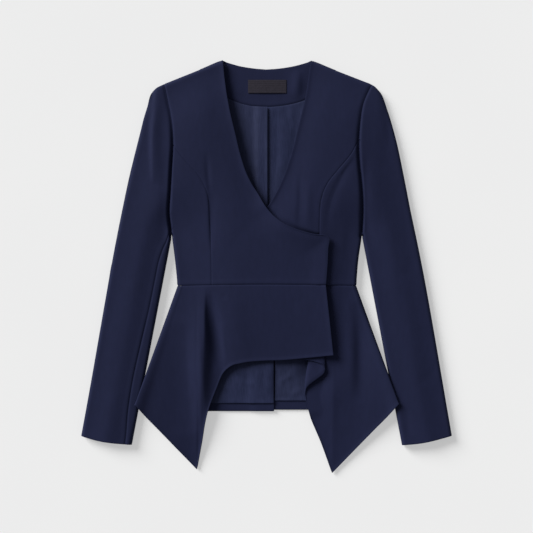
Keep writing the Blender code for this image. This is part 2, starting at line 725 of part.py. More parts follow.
def front_pieces(crepe):
    for side, height in (("right", wrap_height), ("left", under_height)):
        flip = side == "left"
        panel = shorten(side_front(side), SEAM, SEAM, ROLL_SEAM, SEAM)
        cloth(f"{side}_side_front", panel, SHELL, crepe, flip)
        panel = shorten(centre_front(side, height), ROLL_SEAM, SEAM, SEAM, 0.0)
        cloth(f"{side}_front", panel, SHELL, crepe, flip)
        panel = shorten(front_peplum(side, height), SEAM, 0.0, ROLL_SEAM, 0.0)
        cloth(f"{side}_peplum", panel, SHELL, crepe, flip)


def back_pieces(crepe):
    for side in ("right", "left"):
        flip = side == "right"
        panel = shorten(back_panel(side), ROLL_SEAM, SEAM, ROLL_SEAM, SEAM)
        cloth(f"back_{side}", panel, SHELL, crepe, flip)
        panel = shorten(back_peplum(side), SEAM, 0.0, ROLL_SEAM, SEAM)
        # The left half stays single where the right half lies on it.
        turned = slice(len(ROLL) + len(RAMP_STEPS) - 1, None if side == "right" else -2)
        flap = (turned, hem_turned_up(panel, turned))
        cloth(f"back_peplum_{side}", panel, SHELL, crepe, flip, flap)


def sleeve_pieces(crepe):
    for side in ("right", "left"):
        flip = side == "right"
        for name, skin in zip(("top_sleeve", "under_sleeve"), sleeve_panels(side)):
            panel = shorten(skin, ARM_SEAM, 0.0, ROLL_SEAM, ROLL_SEAM)
            cloth(f"{side}_{name}", panel, SHELL, crepe, flip)


def inner_pieces(crepe, satin, woven):
    cloth("neck_facing", neck_facing(), FACING, crepe)
    cloth("label", label(), LABEL, woven)
    for side in ("right", "left"):
        flip = side == "left"
        panel = shorten(back_lining(side), 0.0, SEAM)
        cloth(f"back_lining_{side}", panel, LINING, satin, flip)
        panel = shorten(peplum_lining(side), SEAM, 0.0, 0.0, SEAM)
        cloth(f"peplum_lining_{side}", panel, LINING, satin, flip)


def main():
    for old in list(bpy.data.objects):
        bpy.data.objects.remove(old, do_unlink=True)
    collection = bpy.data.collections.new("peplum_jacket")
    bpy.context.scene.collection.children.link(collection)
    crepe = material("navy_crepe", (0.016, 0.019, 0.05), 0.8)
    front_pieces(crepe)
    back_pieces(crepe)
    sleeve_pieces(crepe)
    satin = material("navy_satin", (0.02, 0.022, 0.05), 0.5)
    woven = material("charcoal_label", (0.04, 0.038, 0.036), 0.7)
    inner_pieces(crepe, satin, woven)


main()
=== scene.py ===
# A fitted wrap jacket with a peplum, laid flat on its back and seen from straight above.
# Right and left are the wearer's: right is at -X, +Y runs to the neck and Z = 0 is the table.
# Sizes in the tables are millimetres, meshes are in metres.
import math

import bpy
import numpy as np
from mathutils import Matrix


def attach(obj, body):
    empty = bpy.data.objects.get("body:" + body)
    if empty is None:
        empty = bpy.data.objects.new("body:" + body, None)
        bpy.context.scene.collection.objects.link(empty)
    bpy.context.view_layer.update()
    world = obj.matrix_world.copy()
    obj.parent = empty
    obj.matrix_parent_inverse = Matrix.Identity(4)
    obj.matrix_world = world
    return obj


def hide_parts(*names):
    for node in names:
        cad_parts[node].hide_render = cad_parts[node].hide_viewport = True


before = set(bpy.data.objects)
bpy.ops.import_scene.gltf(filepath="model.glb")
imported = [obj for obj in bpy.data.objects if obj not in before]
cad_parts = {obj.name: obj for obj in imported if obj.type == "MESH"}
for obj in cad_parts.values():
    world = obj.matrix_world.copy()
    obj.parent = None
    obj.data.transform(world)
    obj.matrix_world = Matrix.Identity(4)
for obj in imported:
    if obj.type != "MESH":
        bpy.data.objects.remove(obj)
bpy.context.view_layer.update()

mm = 0.001
sides = ("right", "left")
inward = {"right": 1.0, "left": -1.0}  # along X, from each side seam to the middle
print("frame loaded:", len(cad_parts), "solids")

# The cut, as x and y from the centre of the jacket
shoulderLine = {
    "right": ((-76.5, 362.3), (-179.2, 321.1)),
    "left": ((78.1, 361.7), (184.8, 320.3)),
}
armholeLine = {
    "right": ((-165.9, 54.3), (-170.0, 94.5), (-168.0, 127.8), (-165.9, 173.3), (-163.6, 217.0),
              (-167.0, 261.8), (-172.6, 288.8), (-179.2, 321.1)),
    "left": ((167.7, 54.3), (168.9, 105.5), (166.6, 150.2), (163.3, 183.8), (162.1, 219.5),
             (164.3, 250.6), (169.9, 286.3), (184.8, 320.3)),
}
sideSeamLine = {
    "right": ((-165.9, 54.3), (-160.6, 13.0), (-155.9, -33.3)),
    "left": ((167.7, 54.3), (161.6, 13.0), (157.7, -33.3)),
}
sleeveOuterLine = {
    "right": ((-179.2, 321.1), (-188.0, 318.5), (-195.0, 313.3), (-201.1, 298.4), (-208.1, 281.8),
              (-216.0, 260.8), (-222.1, 232.8), (-229.1, 204.8), (-324.8, -295.8)),
    "left": ((184.8, 320.3), (191.0, 318.2), (198.8, 308.0), (204.1, 297.5), (212.8, 274.8),
             (221.6, 246.8), (228.6, 218.8), (251.3, 106.8), (274.1, -5.3), (325.3, -295.4)),
}
cuffLine = {
    "right": ((-235.9, -311.5), (-274.8, -307.7), (-300.0, -303.1), (-324.8, -295.8)),
    "left": ((237.8, -312.2), (266.5, -309.2), (296.6, -303.1), (325.3, -295.4)),
}
princessLine = {
    "right": ((-163.6, 213.5), (-143.5, 188.1), (-116.7, 157.0), (-103.4, 130.0), (-98.9, 83.3),
              (-96.6, 28.0), (-95.7, -31.6)),
    "left": ((162.1, 224.0), (147.7, 197.1), (127.6, 172.6), (105.2, 143.5), (96.3, 121.1),
             (92.9, 83.3), (93.5, 28.0), (94.5, -31.6)),
}
wrapCorner = (108.2, 53.4)
neckLine = {
    "right": ((-76.5, 362.3), (-72.3, 322.0), (-63.7, 271.3), (-53.7, 229.8), (-45.3, 194.8),
              (-27.5, 148.0), (-16.3, 130.6), (-0.4, 104.1), (18.0, 84.2), (40.8, 70.2),
              (65.5, 61.4), (94.0, 55.0), wrapCorner),
    "left": ((78.1, 361.7), (75.1, 339.9), (69.5, 302.1), (62.8, 273.0), (58.3, 255.2),
             (45.0, 201.6), (27.1, 150.2), (13.7, 123.4), (0.4, 103.3), (-18.0, 84.2),
             (-40.8, 70.2), (-65.5, 61.4), (-94.0, 55.0), (-108.2, 53.4)),
}
freeEdgeLine = {
    "right": (wrapCorner, (106.2, 1.9), (103.4, -31.8)),
    "left": ((-108.2, 53.4), (-104.0, 1.9), (-100.0, -31.7)),
}
backNeckLine = ((-76.5, 362.3), (-55.0, 355.3), (-27.0, 350.0), (1.0, 347.4), (29.0, 350.0),
                (57.0, 355.3), (78.1, 361.7))
facingHemLine = ((-122.0, 331.0), (-92.0, 310.5), (-57.2, 292.6), (-34.5, 285.3), (-4.9, 281.9),
                 (21.9, 283.3), (48.7, 287.9), (64.6, 292.6), (95.0, 308.5), (124.0, 330.0))
peplumCorner = {"right": (-230.5, -241.5), "left": (232.4, -239.8)}
waist = {"y": -30.6, "sag": 2.7, "half": 157.0}

# How the laid cloth stands: half height of the rolled sides, rise of the body between them,
# sink of the fronts at the open neck, lift of the wrap and of its lip, drop of the front under
# it, and how the rolled side rises and closes at the peplum's corner
laid = {
    "roll": 6.5, "crown": 9.0, "crownReach": 52.0, "crownBlend": 9.0,
    "neckSink": 0.34, "neckReach": 32.0,
    "wrapRise": 1.2, "wrapFrom": -95.0, "wrapOver": 40.0,
    "wrapLip": 4.4, "lipReach": 22.0, "lipFrom": -60.0, "lipOver": 60.0,
    "underDrop": 4.8, "underTop": 50.0, "underLead": 22.0, "underOver": 30.0,
    "cornerRise": 9.7, "cornerRoll": 2.2, "clear": 0.3,
}
wall = {"crepe": 1.3, "facing": 1.1, "lining": 0.6, "label": 0.6}  # thickness of each cloth
rollAngles = (0.0, 7.0, 14.0, 22.0, 31.0, 41.0, 52.0, 64.0, 77.0, 90.0)
rollSteps = tuple(laid["roll"] * (1.0 - math.cos(math.radians(angle))) for angle in rollAngles)
meshStep = 3.2  # distance between points on open cloth
seamSteps = (0.4, 0.9, 1.5, 2.3, 3.4, 5.0, 7.5, 10.5)  # points close together beside a flat seam
seamPull = 8.0  # how far into a panel its pull onto a seam line reaches
allowance = {"middle": 4.6, "half": 3.4}  # where a pressed seam allowance lies beside its seam
creaseFade = 0.8  # the lower this is, the nearer to its ends a crease stays deep


# Curves and distances
def curveThrough(points, steps=12):
    points = np.array(points, float)
    gaps = np.linalg.norm(np.diff(points, axis=0), axis=1)
    marks = np.concatenate([[0.0], np.cumsum(gaps)])
    share = np.linspace(0.0, 1.0, steps, endpoint=False)
    places = np.concatenate([(marks[:-1, None] + share * gaps[:, None]).ravel(), marks[-1:]])
    return smoothThrough(points[:, None, :], marks, places)[:, 0]


def smoothThrough(rows, marks, places, corners=()):
    # a smooth line through each column of rows, read at the given places; it may turn at corners
    gaps = np.diff(marks)
    slopes = np.diff(rows, axis=0) / gaps[:, None, None]
    ahead = gaps[1:, None, None]
    behind = gaps[:-1, None, None]
    middle = (slopes[:-1] * ahead + slopes[1:] * behind) / (ahead + behind)
    tangents = np.concatenate([slopes[:1], middle, slopes[-1:]])
    span = np.clip(np.searchsorted(marks, places, side="right") - 1, 0, len(gaps) - 1)
    leave = tangents[span]
    arrive = tangents[span + 1]
    for corner in corners:
        leave[span == corner] = slopes[corner]
        arrive[span == corner - 1] = slopes[corner - 1]
    gap = gaps[span][:, None, None]
    t = (places - marks[span])[:, None, None] / gap
    return ((2 * t**3 - 3 * t**2 + 1) * rows[span] + (t**3 - 2 * t**2 + t) * gap * leave
            + (3 * t**2 - 2 * t**3) * rows[span + 1] + (t**3 - t**2) * gap * arrive)


def marksOf(path):
    return np.concatenate([[0.0], np.cumsum(np.linalg.norm(np.diff(path, axis=0), axis=1))])


def along(path, distances):
    marks = marksOf(path)
    return np.column_stack([np.interp(distances, marks, path[:, axis]) for axis in (0, 1)])


def spread(path, count):
    return along(path, np.linspace(0.0, marksOf(path)[-1], count))


def ease(value):
    value = np.clip(value, 0.0, 1.0)
    return value * value * (3.0 - 2.0 * value)


def nearestOn(path, x, y):
    # distance from each point to a path, and how far along the path its nearest point lies
    x, y = np.broadcast_arrays(np.asarray(x, float), np.asarray(y, float))
    marks = marksOf(path)
    best = np.full(x.shape, 1e9)
    place = np.zeros(x.shape)
    for start, end, mark in zip(path[:-1], path[1:], marks):
        run = end - start
        length = max(float(np.hypot(*run)), 1e-9)
        share = np.clip(((x - start[0]) * run[0] + (y - start[1]) * run[1]) / length**2, 0.0, 1.0)
        distance = np.hypot(x - start[0] - share * run[0], y - start[1] - share * run[1])
        closer = distance < best
        best = np.where(closer, distance, best)
        place = np.where(closer, mark + share * length, place)
    return best, place


# Heights of the laid cloth
def waistY(x):
    return waist["y"] - waist["sag"] * (x / waist["half"]) ** 2


rolledLines = []
for side in sides:
    rolledLines.append(np.array(shoulderLine[side]))
    rolledLines.append(curveThrough(sleeveOuterLine[side], 6))
    rolledLines.append(np.vstack([cuffLine[side][0], curveThrough(sideSeamLine[side], 6)]))
upperNeckLines = [curveThrough(neckLine["right"][:8], 5), curveThrough(neckLine["left"][:9], 5)]
wrapEdge = np.vstack([curveThrough(neckLine["right"][7:], 6), curveThrough(freeEdgeLine["right"], 6)])


def edgeDistance(x, y):
    return np.minimum.reduce([nearestOn(path, x, y)[0] for path in rolledLines])


def crownDistance(x, y):
    # a softened least distance to the rolled edges, so that no ridge runs midway between them
    distances = [nearestOn(path, x, y)[0] for path in rolledLines]
    least = np.minimum.reduce(distances)
    crowding = sum(np.exp((least - distance) / laid["crownBlend"]) for distance in distances)
    return least - laid["crownBlend"] * np.log(crowding)


def rollRise(distance, radius):
    depth = np.clip(distance, 0.0, radius)
    return np.sqrt(np.maximum(radius**2 - (radius - depth) ** 2, 0.0))


def frontHeight(x, y):
    distance = edgeDistance(x, y)
    pastRoll = np.clip(crownDistance(x, y) - laid["roll"], 0.0, None)
    crown = laid["crown"] * (1.0 - np.exp(-((pastRoll / laid["crownReach"]) ** 2)))
    neck = np.minimum.reduce([nearestOn(path, x, y)[0] for path in upperNeckLines])
    sink = 1.0 - laid["neckSink"] * np.exp(-((neck / laid["neckReach"]) ** 2))
    return laid["roll"] + (rollRise(distance, laid["roll"]) + crown) * sink


def backHeight(x, y):
    return laid["roll"] - rollRise(edgeDistance(x, y), laid["roll"])


def wrapHeight(x, y):
    rise = laid["wrapRise"] * ease((x - laid["wrapFrom"]) / laid["wrapOver"])
    lip = np.exp(-((nearestOn(wrapEdge, x, y)[0] / laid["lipReach"]) ** 2))
    lip = lip * ease((x - laid["lipFrom"]) / laid["lipOver"])
    return frontHeight(x, y) + rise + laid["wrapLip"] * lip


def underHeight(x, y):
    upper = np.interp(x, wrapEdge[:, 0], wrapEdge[:, 1]) - y
    beside = np.interp(-y, -wrapEdge[:, 1], wrapEdge[:, 0]) - x
    covered = np.where(x < 0.0, wrapCorner[1] + laid["underTop"] - y, np.minimum(upper, beside))
    return frontHeight(x, y) - laid["underDrop"] * ease((covered + laid["underLead"]) / laid["underOver"])


def withCreases(grid, creases, normal):
    # soft troughs and ridges, each along a curve, deepest in the middle and fading at its ends;
    # a pair of widths is for the -X side and the +X side
    lift = np.zeros(grid.shape[:2])
    for points, width, depth in creases:
        path = curveThrough(points, 6) if len(points) > 2 else np.array(points, float)
        distance, place = nearestOn(path, grid[..., 0], grid[..., 1])
        if isinstance(width, tuple):
            upward = path[np.argsort(path[:, 1])]
            beyond = grid[..., 0] > np.interp(grid[..., 1], upward[:, 1], upward[:, 0])
            width = np.where(beyond, width[1], width[0])
        fade = np.sin(math.pi * np.clip(place / marksOf(path)[-1], 0.0, 1.0)) ** creaseFade
        lift += depth * np.exp(-((distance / width) ** 2)) * fade
    return grid + normal * lift[..., None]


# Grids of points: rows run down the garment, columns across it
def splitSpans(marks, closeAtStart=False, closeAtEnd=False):
    # places a mesh step apart between the marks, and closer together beside a flat seam
    places = [marks[0]]
    for start, end in zip(marks, marks[1:]):
        count = max(1, round((end - start) / meshStep))
        places.extend(np.linspace(start, end, count + 1)[1:])
    places = np.array(places)
    total = marks[-1]
    pastSeam = seamSteps[-1] + 1.0
    if closeAtStart:
        places = np.concatenate([[0.0], seamSteps, places[places > pastSeam]])
    if closeAtEnd:
        ahead = places[places < total - pastSeam]
        places = np.concatenate([ahead, total - np.array(seamSteps[::-1]), [total]])
    return places


def meanMarks(grid):
    return np.concatenate([[0.0], np.cumsum(np.linalg.norm(np.diff(grid, axis=0), axis=2).mean(axis=1))])


def refined(grid, close=""):
    # finer rows and columns; close names the flat seams by edge: t top, b bottom, s start, e end
    marks = meanMarks(grid)
    grid = smoothThrough(grid, marks, splitSpans(marks, "t" in close, "b" in close))
    across = grid.transpose(1, 0, 2)
    marks = meanMarks(across)
    places = splitSpans(marks, "s" in close, "e" in close)
    return smoothThrough(across, marks, places).transpose(1, 0, 2)


def withHeight(grid, height):
    return np.dstack([grid, height(grid[..., 0], grid[..., 1])])


def normals(grid, flip):
    down = np.gradient(grid, axis=0)
    across = np.gradient(grid, axis=1)
    normal = np.cross(down, across) * (-1.0 if flip else 1.0)
    return normal / np.maximum(np.linalg.norm(normal, axis=2, keepdims=True), 1e-9)


def edgeMarks(grid, edge):
    # distance of each point from one edge of the grid, along the cloth
    across = grid.transpose(1, 0, 2)
    rows = {"t": grid, "b": grid[::-1], "s": across, "e": across[::-1]}[edge]
    steps = np.linalg.norm(np.diff(rows, axis=0), axis=2)
    marks = np.concatenate([np.zeros((1, rows.shape[1])), np.cumsum(steps, axis=0)])
    return {"t": marks, "b": marks[::-1], "s": marks.T, "e": marks.T[:, ::-1]}[edge]


def pressed(grid, seams, normal):
    # each seam is a groove with its allowance pressed under the cloth beside it; a depth below
    # zero is a hem or edge that curls up
    lift = np.zeros(grid.shape[:2])
    for edge, (depth, width, raised) in seams.items():
        distance = edgeMarks(grid, edge)
        lift -= depth * np.exp(-((distance / width) ** 2))
        lift += raised * np.exp(-(((distance - allowance["middle"]) / allowance["half"]) ** 6))
    return grid + normal * lift[..., None]


def shaped(grid, flip, creases, seams):
    # creases and seams both move the smooth cloth along its normals
    normal = normals(grid, flip)
    return pressed(withCreases(grid, creases, normal), seams, normal), normal


def seamOnto(grid, edge, lines):
    # moves the points of one edge onto the nearest seam line, and eases that away inside the panel
    rim = (grid[0] if edge == "t" else grid[:, 0])[:, :2]
    found = [nearestOn(line, rim[:, 0], rim[:, 1]) for line in lines]
    closest = np.argmin([distance for distance, _ in found], axis=0)
    onLines = np.array([along(line, place) for line, (_, place) in zip(lines, found)])
    shift = onLines[closest, np.arange(len(rim))] - rim
    shift = shift[None] if edge == "t" else shift[:, None]
    fade = np.exp(-((edgeMarks(grid, edge) / seamPull) ** 2))
    grid[..., :2] += shift * fade[..., None]
    return grid


# Colours and cloths
def linearColour(hexCode, alpha=1.0):
    values = [int(hexCode[place:place + 2], 16) / 255.0 for place in (1, 3, 5)]
    return (*((v / 12.92) if v <= 0.04045 else ((v + 0.055) / 1.055) ** 2.4 for v in values), alpha)


def addNode(tree, kind, values=None, links=None, **settings):
    node = tree.nodes.new(kind)
    for name, value in settings.items():
        setattr(node, name, value)
    for socket, value in (values or {}).items():
        node.inputs[socket].default_value = value
    for socket, source in (links or {}).items():
        tree.links.new(source, node.inputs[socket])
    return node


def newMaterial(name, values):
    # a material with its shader's plain values set; its patterns follow the object's coordinates
    made = bpy.data.materials.new(name)
    made.use_nodes = True
    shader = made.node_tree.nodes["Principled BSDF"]
    for socket, value in values.items():
        shader.inputs[socket].default_value = value
    place = addNode(made.node_tree, "ShaderNodeTexCoord")
    return made, made.node_tree, shader, {"Vector": place.outputs["Object"]}


def colourBy(tree, shader, tone, look):
    # a grey tone, spread over its working range, mixes the two colours of a look
    low, high = look["toneRange"]
    ramp = addNode(tree, "ShaderNodeMapRange", {"From Min": low, "From Max": high}, {"Value": tone})
    colour = addNode(tree, "ShaderNodeMix",
                     {"A": linearColour(look["deep"]), "B": linearColour(look["face"])},
                     {"Factor": ramp.outputs["Result"]}, data_type="RGBA")
    tree.links.new(colour.outputs["Result"], shader.inputs["Base Color"])


# Navy wool-blend crepe, woven from overtwisted yarn: matt and pebbly, with a faint bloom
# where the fibres stand up at grazing angles
crepe = {
    "deep": "#181c34", "face": "#1b1f39", "toneRange": (0.75, 1.45),
    "pebbleMm": 1.3,  # the real grain is 0.4 mm; it is drawn coarser so that it shows
    "slubMm": 7.0, "slubStretch": 0.35, "cloudMm": 120.0, "reliefMm": 0.05,
    "pebbleShare": 0.55, "cloudShare": 0.6, "roughness": (0.78, 0.9),
    "shader": {
        "IOR": 1.5, "Specular IOR Level": 0.12, "Sheen Weight": 0.06, "Sheen Roughness": 0.5,
        "Sheen Tint": linearColour("#4a5278"),
    },
}


def crepeMaterial():
    made, tree, shader, place = newMaterial("navyCrepe", crepe["shader"])
    pebble = addNode(tree, "ShaderNodeTexNoise",
                     {"Scale": 1000.0 / crepe["pebbleMm"], "Detail": 2.0, "Roughness": 0.55}, place)
    stretch = addNode(tree, "ShaderNodeMapping", {"Scale": (1.0, crepe["slubStretch"], 1.0)}, place)
    slub = addNode(tree, "ShaderNodeTexNoise",
                   {"Scale": 1000.0 / crepe["slubMm"], "Detail": 3.0, "Roughness": 0.6},
                   {"Vector": stretch.outputs["Vector"]})
    cloud = addNode(tree, "ShaderNodeTexNoise", {"Scale": 1000.0 / crepe["cloudMm"], "Detail": 2.0}, place)
    grain = addNode(tree, "ShaderNodeMath", {1: crepe["pebbleShare"]},
                    {0: pebble.outputs["Fac"], 2: slub.outputs["Fac"]}, operation="MULTIPLY_ADD")
    tone = addNode(tree, "ShaderNodeMath", {1: crepe["cloudShare"]},
                   {0: cloud.outputs["Fac"], 2: grain.outputs["Value"]}, operation="MULTIPLY_ADD")
    colourBy(tree, shader, tone.outputs["Value"], crepe)
    smoothest, roughest = crepe["roughness"]
    gloss = addNode(tree, "ShaderNodeMapRange",
                    {"From Min": 0.3, "From Max": 0.7, "To Min": smoothest, "To Max": roughest},
                    {"Value": pebble.outputs["Fac"]})
    relief = addNode(tree, "ShaderNodeBump", {"Strength": 0.6, "Distance": crepe["reliefMm"] * mm},
                     {"Height": grain.outputs["Value"]})
    tree.links.new(gloss.outputs["Result"], shader.inputs["Roughness"])
    tree.links.new(relief.outputs["Normal"], shader.inputs["Normal"])
    return made


# Navy acetate satin lining, warp-faced: smoother than the crepe, so it gathers soft highlights
satin = {
    "deep": "#20253d", "face": "#292e49", "toneRange": (0.5, 1.0),
    "threadMm": 1.4,  # the real warp is 0.1 mm; it is drawn coarser so that it shows
    "threadStretch": 0.08, "reliefMm": 0.05, "cloudMm": 22.0, "cloudShare": 0.5, "crinkleMm": 0.5,
    "shader": {"Roughness": 0.68, "IOR": 1.48, "Specular IOR Level": 0.1, "Anisotropic": 0.4},
}


def satinMaterial():
    made, tree, shader, place = newMaterial("navySatinLining", satin["shader"])
    warp = addNode(tree, "ShaderNodeMapping", {"Scale": (1.0, satin["threadStretch"], 1.0)}, place)
    thread = addNode(tree, "ShaderNodeTexNoise", {"Scale": 1000.0 / satin["threadMm"], "Detail": 2.0},
                     {"Vector": warp.outputs["Vector"]})
    cloud = addNode(tree, "ShaderNodeTexNoise",
                    {"Scale": 1000.0 / satin["cloudMm"], "Detail": 3.0, "Roughness": 0.55}, place)
    tone = addNode(tree, "ShaderNodeMath", {1: satin["cloudShare"]},
                   {0: cloud.outputs["Fac"], 2: thread.outputs["Fac"]}, operation="MULTIPLY_ADD")
    colourBy(tree, shader, tone.outputs["Value"], satin)
    crinkle = addNode(tree, "ShaderNodeBump", {"Strength": 0.35, "Distance": satin["crinkleMm"] * mm},
                      {"Height": cloud.outputs["Fac"]})
    relief = addNode(tree, "ShaderNodeBump", {"Strength": 0.4, "Distance": satin["reliefMm"] * mm},
                     {"Height": thread.outputs["Fac"], "Normal": crinkle.outputs["Normal"]})
    tree.links.new(relief.outputs["Normal"], shader.inputs["Normal"])
    return made


# Charcoal polyester ribbon for the label: plain and dull, with ribs across
ribbon = {
    "deep": "#242228", "face": "#322f38", "toneRange": (0.35, 1.0),
    "ribMm": 3.158,  # real ribs are 0.5 mm; they are drawn coarser so that they show
    "ribShare": 0.35, "slubMm": 1.923, "reliefMm": 0.12,
    "shader": {"Roughness": 0.7, "Specular IOR Level": 0.08},
}
waveTurn = 20.0  # a wave texture of scale 1 runs through this many radians in a metre


def ribbonMaterial():
    made, tree, shader, place = newMaterial("charcoalRibbon", ribbon["shader"])
    ribScale = math.tau / waveTurn / (ribbon["ribMm"] * mm)
    ribs = addNode(tree, "ShaderNodeTexWave", {"Scale": ribScale, "Distortion": 0.6, "Detail": 1.0},
                   place, bands_direction="Y")
    slub = addNode(tree, "ShaderNodeTexNoise", {"Scale": 1000.0 / ribbon["slubMm"], "Detail": 3.0}, place)
    tone = addNode(tree, "ShaderNodeMath", {1: ribbon["ribShare"]},
                   {0: ribs.outputs["Fac"], 2: slub.outputs["Fac"]}, operation="MULTIPLY_ADD")
    colourBy(tree, shader, tone.outputs["Value"], ribbon)
    relief = addNode(tree, "ShaderNodeBump", {"Strength": 0.6, "Distance": ribbon["reliefMm"] * mm},
                     {"Height": tone.outputs["Value"]})
    tree.links.new(relief.outputs["Normal"], shader.inputs["Normal"])
    return made


# Opal acrylic light table: nearly white, with a faint mottle and a weak light of its own
board = {
    "deep": "#adadad", "face": "#b1b1b0", "toneRange": (0.0, 1.0), "mottleMm": 260.0,
    "shader": {
        "Roughness": 0.9, "Specular IOR Level": 0.1,
        "Emission Color": linearColour("#f8f8f8"), "Emission Strength": 0.447,
    },
}


def boardMaterial():
    made, tree, shader, place = newMaterial("opalAcrylic", board["shader"])
    mottle = addNode(tree, "ShaderNodeTexNoise", {"Scale": 1000.0 / board["mottleMm"], "Detail": 1.0}, place)
    colourBy(tree, shader, mottle.outputs["Fac"], board)
    return made


# What each cloth is made of, and its slot in the record
crepeCloth = crepeMaterial()
cloths = {
    "crepe": (crepeCloth, "navy_crepe"),
    "facing": (crepeCloth, "navy_crepe"),
    "lining": (satinMaterial(), "navy_satin"),
    "label": (ribbonMaterial(), "charcoal_label"),
}
boardFinish = boardMaterial()
print("cloths mixed")


# Cloth pieces
foldedEdge = {"wallShare": 0.3, "segments": 2, "angle": 55.0}
cutSpare = 1.01  # the cut is at least this much larger than the cloth in it


def clothArea(grid):
    down = np.diff(grid, axis=0)
    across = np.diff(grid, axis=1)
    return float(np.linalg.norm(np.cross(down[:, :-1], across[:-1]), axis=2).sum()) * mm * mm


def cutSize(grid):
    # length down the panel, and its widest row taken square to that
    length = max(marksOf(grid[:, column])[-1] for column in range(grid.shape[1])) * mm
    down = (grid[-1] - grid[0]).mean(axis=0)
    down /= np.linalg.norm(down)
    width = 0.0
    for row in grid:
        chord = row[-1] - row[0]
        square = np.linalg.norm(chord - chord.dot(down) * down) / max(np.linalg.norm(chord), 1e-9)
        width = max(width, marksOf(row)[-1] * square * mm)
    return width, length


def clothPiece(node, grid, cloth, flip=False, flap=None):
    # a sheet of cloth as a thin wall behind the grid; flap is a second grid that goes on from the
    # hem over the columns given with it
    thickness = wall[cloth] * mm
    finish, slot = cloths[cloth]
    grid[..., 2] = np.maximum(grid[..., 2], 0.0)
    rows, columns = grid.shape[:2]
    points = grid.reshape(-1, 3)
    index = np.arange(rows * columns).reshape(rows, columns)
    strips = [index]
    area = clothArea(grid)
    if flap is not None:
        hemColumns, flapGrid = flap
        more = len(points) + np.arange(flapGrid[..., 0].size).reshape(flapGrid.shape[:2])
        points = np.vstack([points, flapGrid.reshape(-1, 3)])
        strips.append(np.vstack([index[-1, hemColumns], more]))
        area += clothArea(flapGrid)
    faces = []
    for strip in strips:
        corners = np.stack([strip[:-1, :-1], strip[1:, :-1], strip[1:, 1:], strip[:-1, 1:]], axis=-1)
        faces.extend(corners.reshape(-1, 4).tolist())
    if flip:
        faces = [face[::-1] for face in faces]
    mesh = bpy.data.meshes.new(node + "Cloth")
    mesh.from_pydata((points * mm).tolist(), [], faces)
    mesh.materials.append(finish)
    mesh.shade_smooth()
    piece = bpy.data.objects.new(node + "_cloth", mesh)
    bpy.context.scene.collection.objects.link(piece)
    body = piece.modifiers.new("wall", "SOLIDIFY")
    body.thickness = thickness
    body.offset = -1.0
    body.thickness_clamp = 1.0
    edge = piece.modifiers.new("foldedEdge", "BEVEL")
    edge.width = foldedEdge["wallShare"] * thickness
    edge.segments = foldedEdge["segments"]
    edge.limit_method = "ANGLE"
    edge.angle_limit = math.radians(foldedEdge["angle"])
    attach(piece, "root")
    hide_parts(node)
    width, length = cutSize(grid)
    if flap is not None:
        length += marksOf(flapGrid[:, 0])[-1] * mm
    width = max(width, area / length * cutSpare)
    print(f"{node}: {len(faces)} faces, cut {width * 1000:.0f} x {length * 1000:.0f} mm, {area:.4f} m2")
    return piece


# Seams and edges: depth and width of the groove, and lift of the allowance beside it
grooves = {
    "flat": (0.35, 1.1, 0.1), "waist": (0.6, 1.2, 0.32), "rolled": (0.35, 1.2, 0.0),
    "curled": (-0.9, 3.6, 0.0), "sleeve": (0.55, 1.7, 0.25), "peplum": (0.6, 1.2, 0.0),
    "facingHem": (0.35, 1.4, 0.25), "lining": (0.4, 1.4, 0.0),
}
# The armhole seam: depth and width on the body and on the sleeve, the share of the depth that it
# has at the shoulder, where and over how far it deepens, and its share where it turns under
armholeSeam = {
    "body": {"right": (7.0, 1.7), "left": (5.6, 4.0)},
    "sleeve": {"right": (7.0, 3.3), "left": (5.6, 1.8)},
    "atShoulder": 0.22, "deepensFrom": 306.0, "deepensOver": 150.0, "turnedUnder": 0.12,
}


def sunkAtArmhole(grid, side, part, normal):
    depth, width = armholeSeam[part][side]
    distance, _ = nearestOn(curveThrough(armholeLine[side], 6), grid[..., 0], grid[..., 1])
    deepened = ease((armholeSeam["deepensFrom"] - grid[..., 1]) / armholeSeam["deepensOver"])
    fall = armholeSeam["atShoulder"] + (1.0 - armholeSeam["atShoulder"]) * deepened
    facing = np.clip(normal[..., 2], armholeSeam["turnedUnder"], 1.0)
    lift = depth * fall * facing * np.exp(-((distance / width) ** 2))
    return grid - normal * lift[..., None]


# Body panels. Rows of points start at these distances above the underarm and the princess seam
# along the armhole, below the underarm along the side seam, and along the shoulder and the neck
panelRows = {
    "aboveUnderarm": (14.0, 35.0, 70.0, 112.0), "abovePrincess": (30.0, 56.0),
    "belowUnderarm": (8.0, 24.0, 46.0, 68.0), "alongShoulder": (30.0, 65.0), "alongNeck": (30.0, 55.0),
    "edgeRows": 4, "frontColumns": 10, "sideColumns": 4,
    "tip": 0.02,  # how far the side front's upper tip stays open, as a share of the next row
    "rollWidth": 30.0, "rollOver": 16.0,  # narrower or higher than this, its columns even out
    "bendOver": 0.6,  # share of the rows over which a bent top row straightens
}


def sharesAcross(width, stepsAtEdge, others):
    rest = np.linspace(stepsAtEdge[-1], width, others + 1)[1:]
    return np.concatenate([stepsAtEdge, rest]) / width


def rowsBetween(starts, ends, shares):
    rows = zip(starts, ends, shares)
    return np.stack([start + share[:, None] * (end - start) for start, end, share in rows])


def toWaist(grid, rows=4):
    shift = waistY(grid[-1, :, 0]) - grid[-1, :, 1]
    for step in range(1, rows + 1):
        grid[step - 1 - rows, :, 1] += shift * step / rows
    return grid


def armholeDistances(side):
    path = curveThrough(armholeLine[side])
    marks = marksOf(path)
    princess = float(np.interp(princessLine[side][0][1], path[:, 1], marks))
    lower = [*rollSteps, *panelRows["aboveUnderarm"], princess]
    upper = [princess + step for step in panelRows["abovePrincess"]]
    return lower, [*upper, *(marks[-1] - step for step in reversed(rollSteps))]


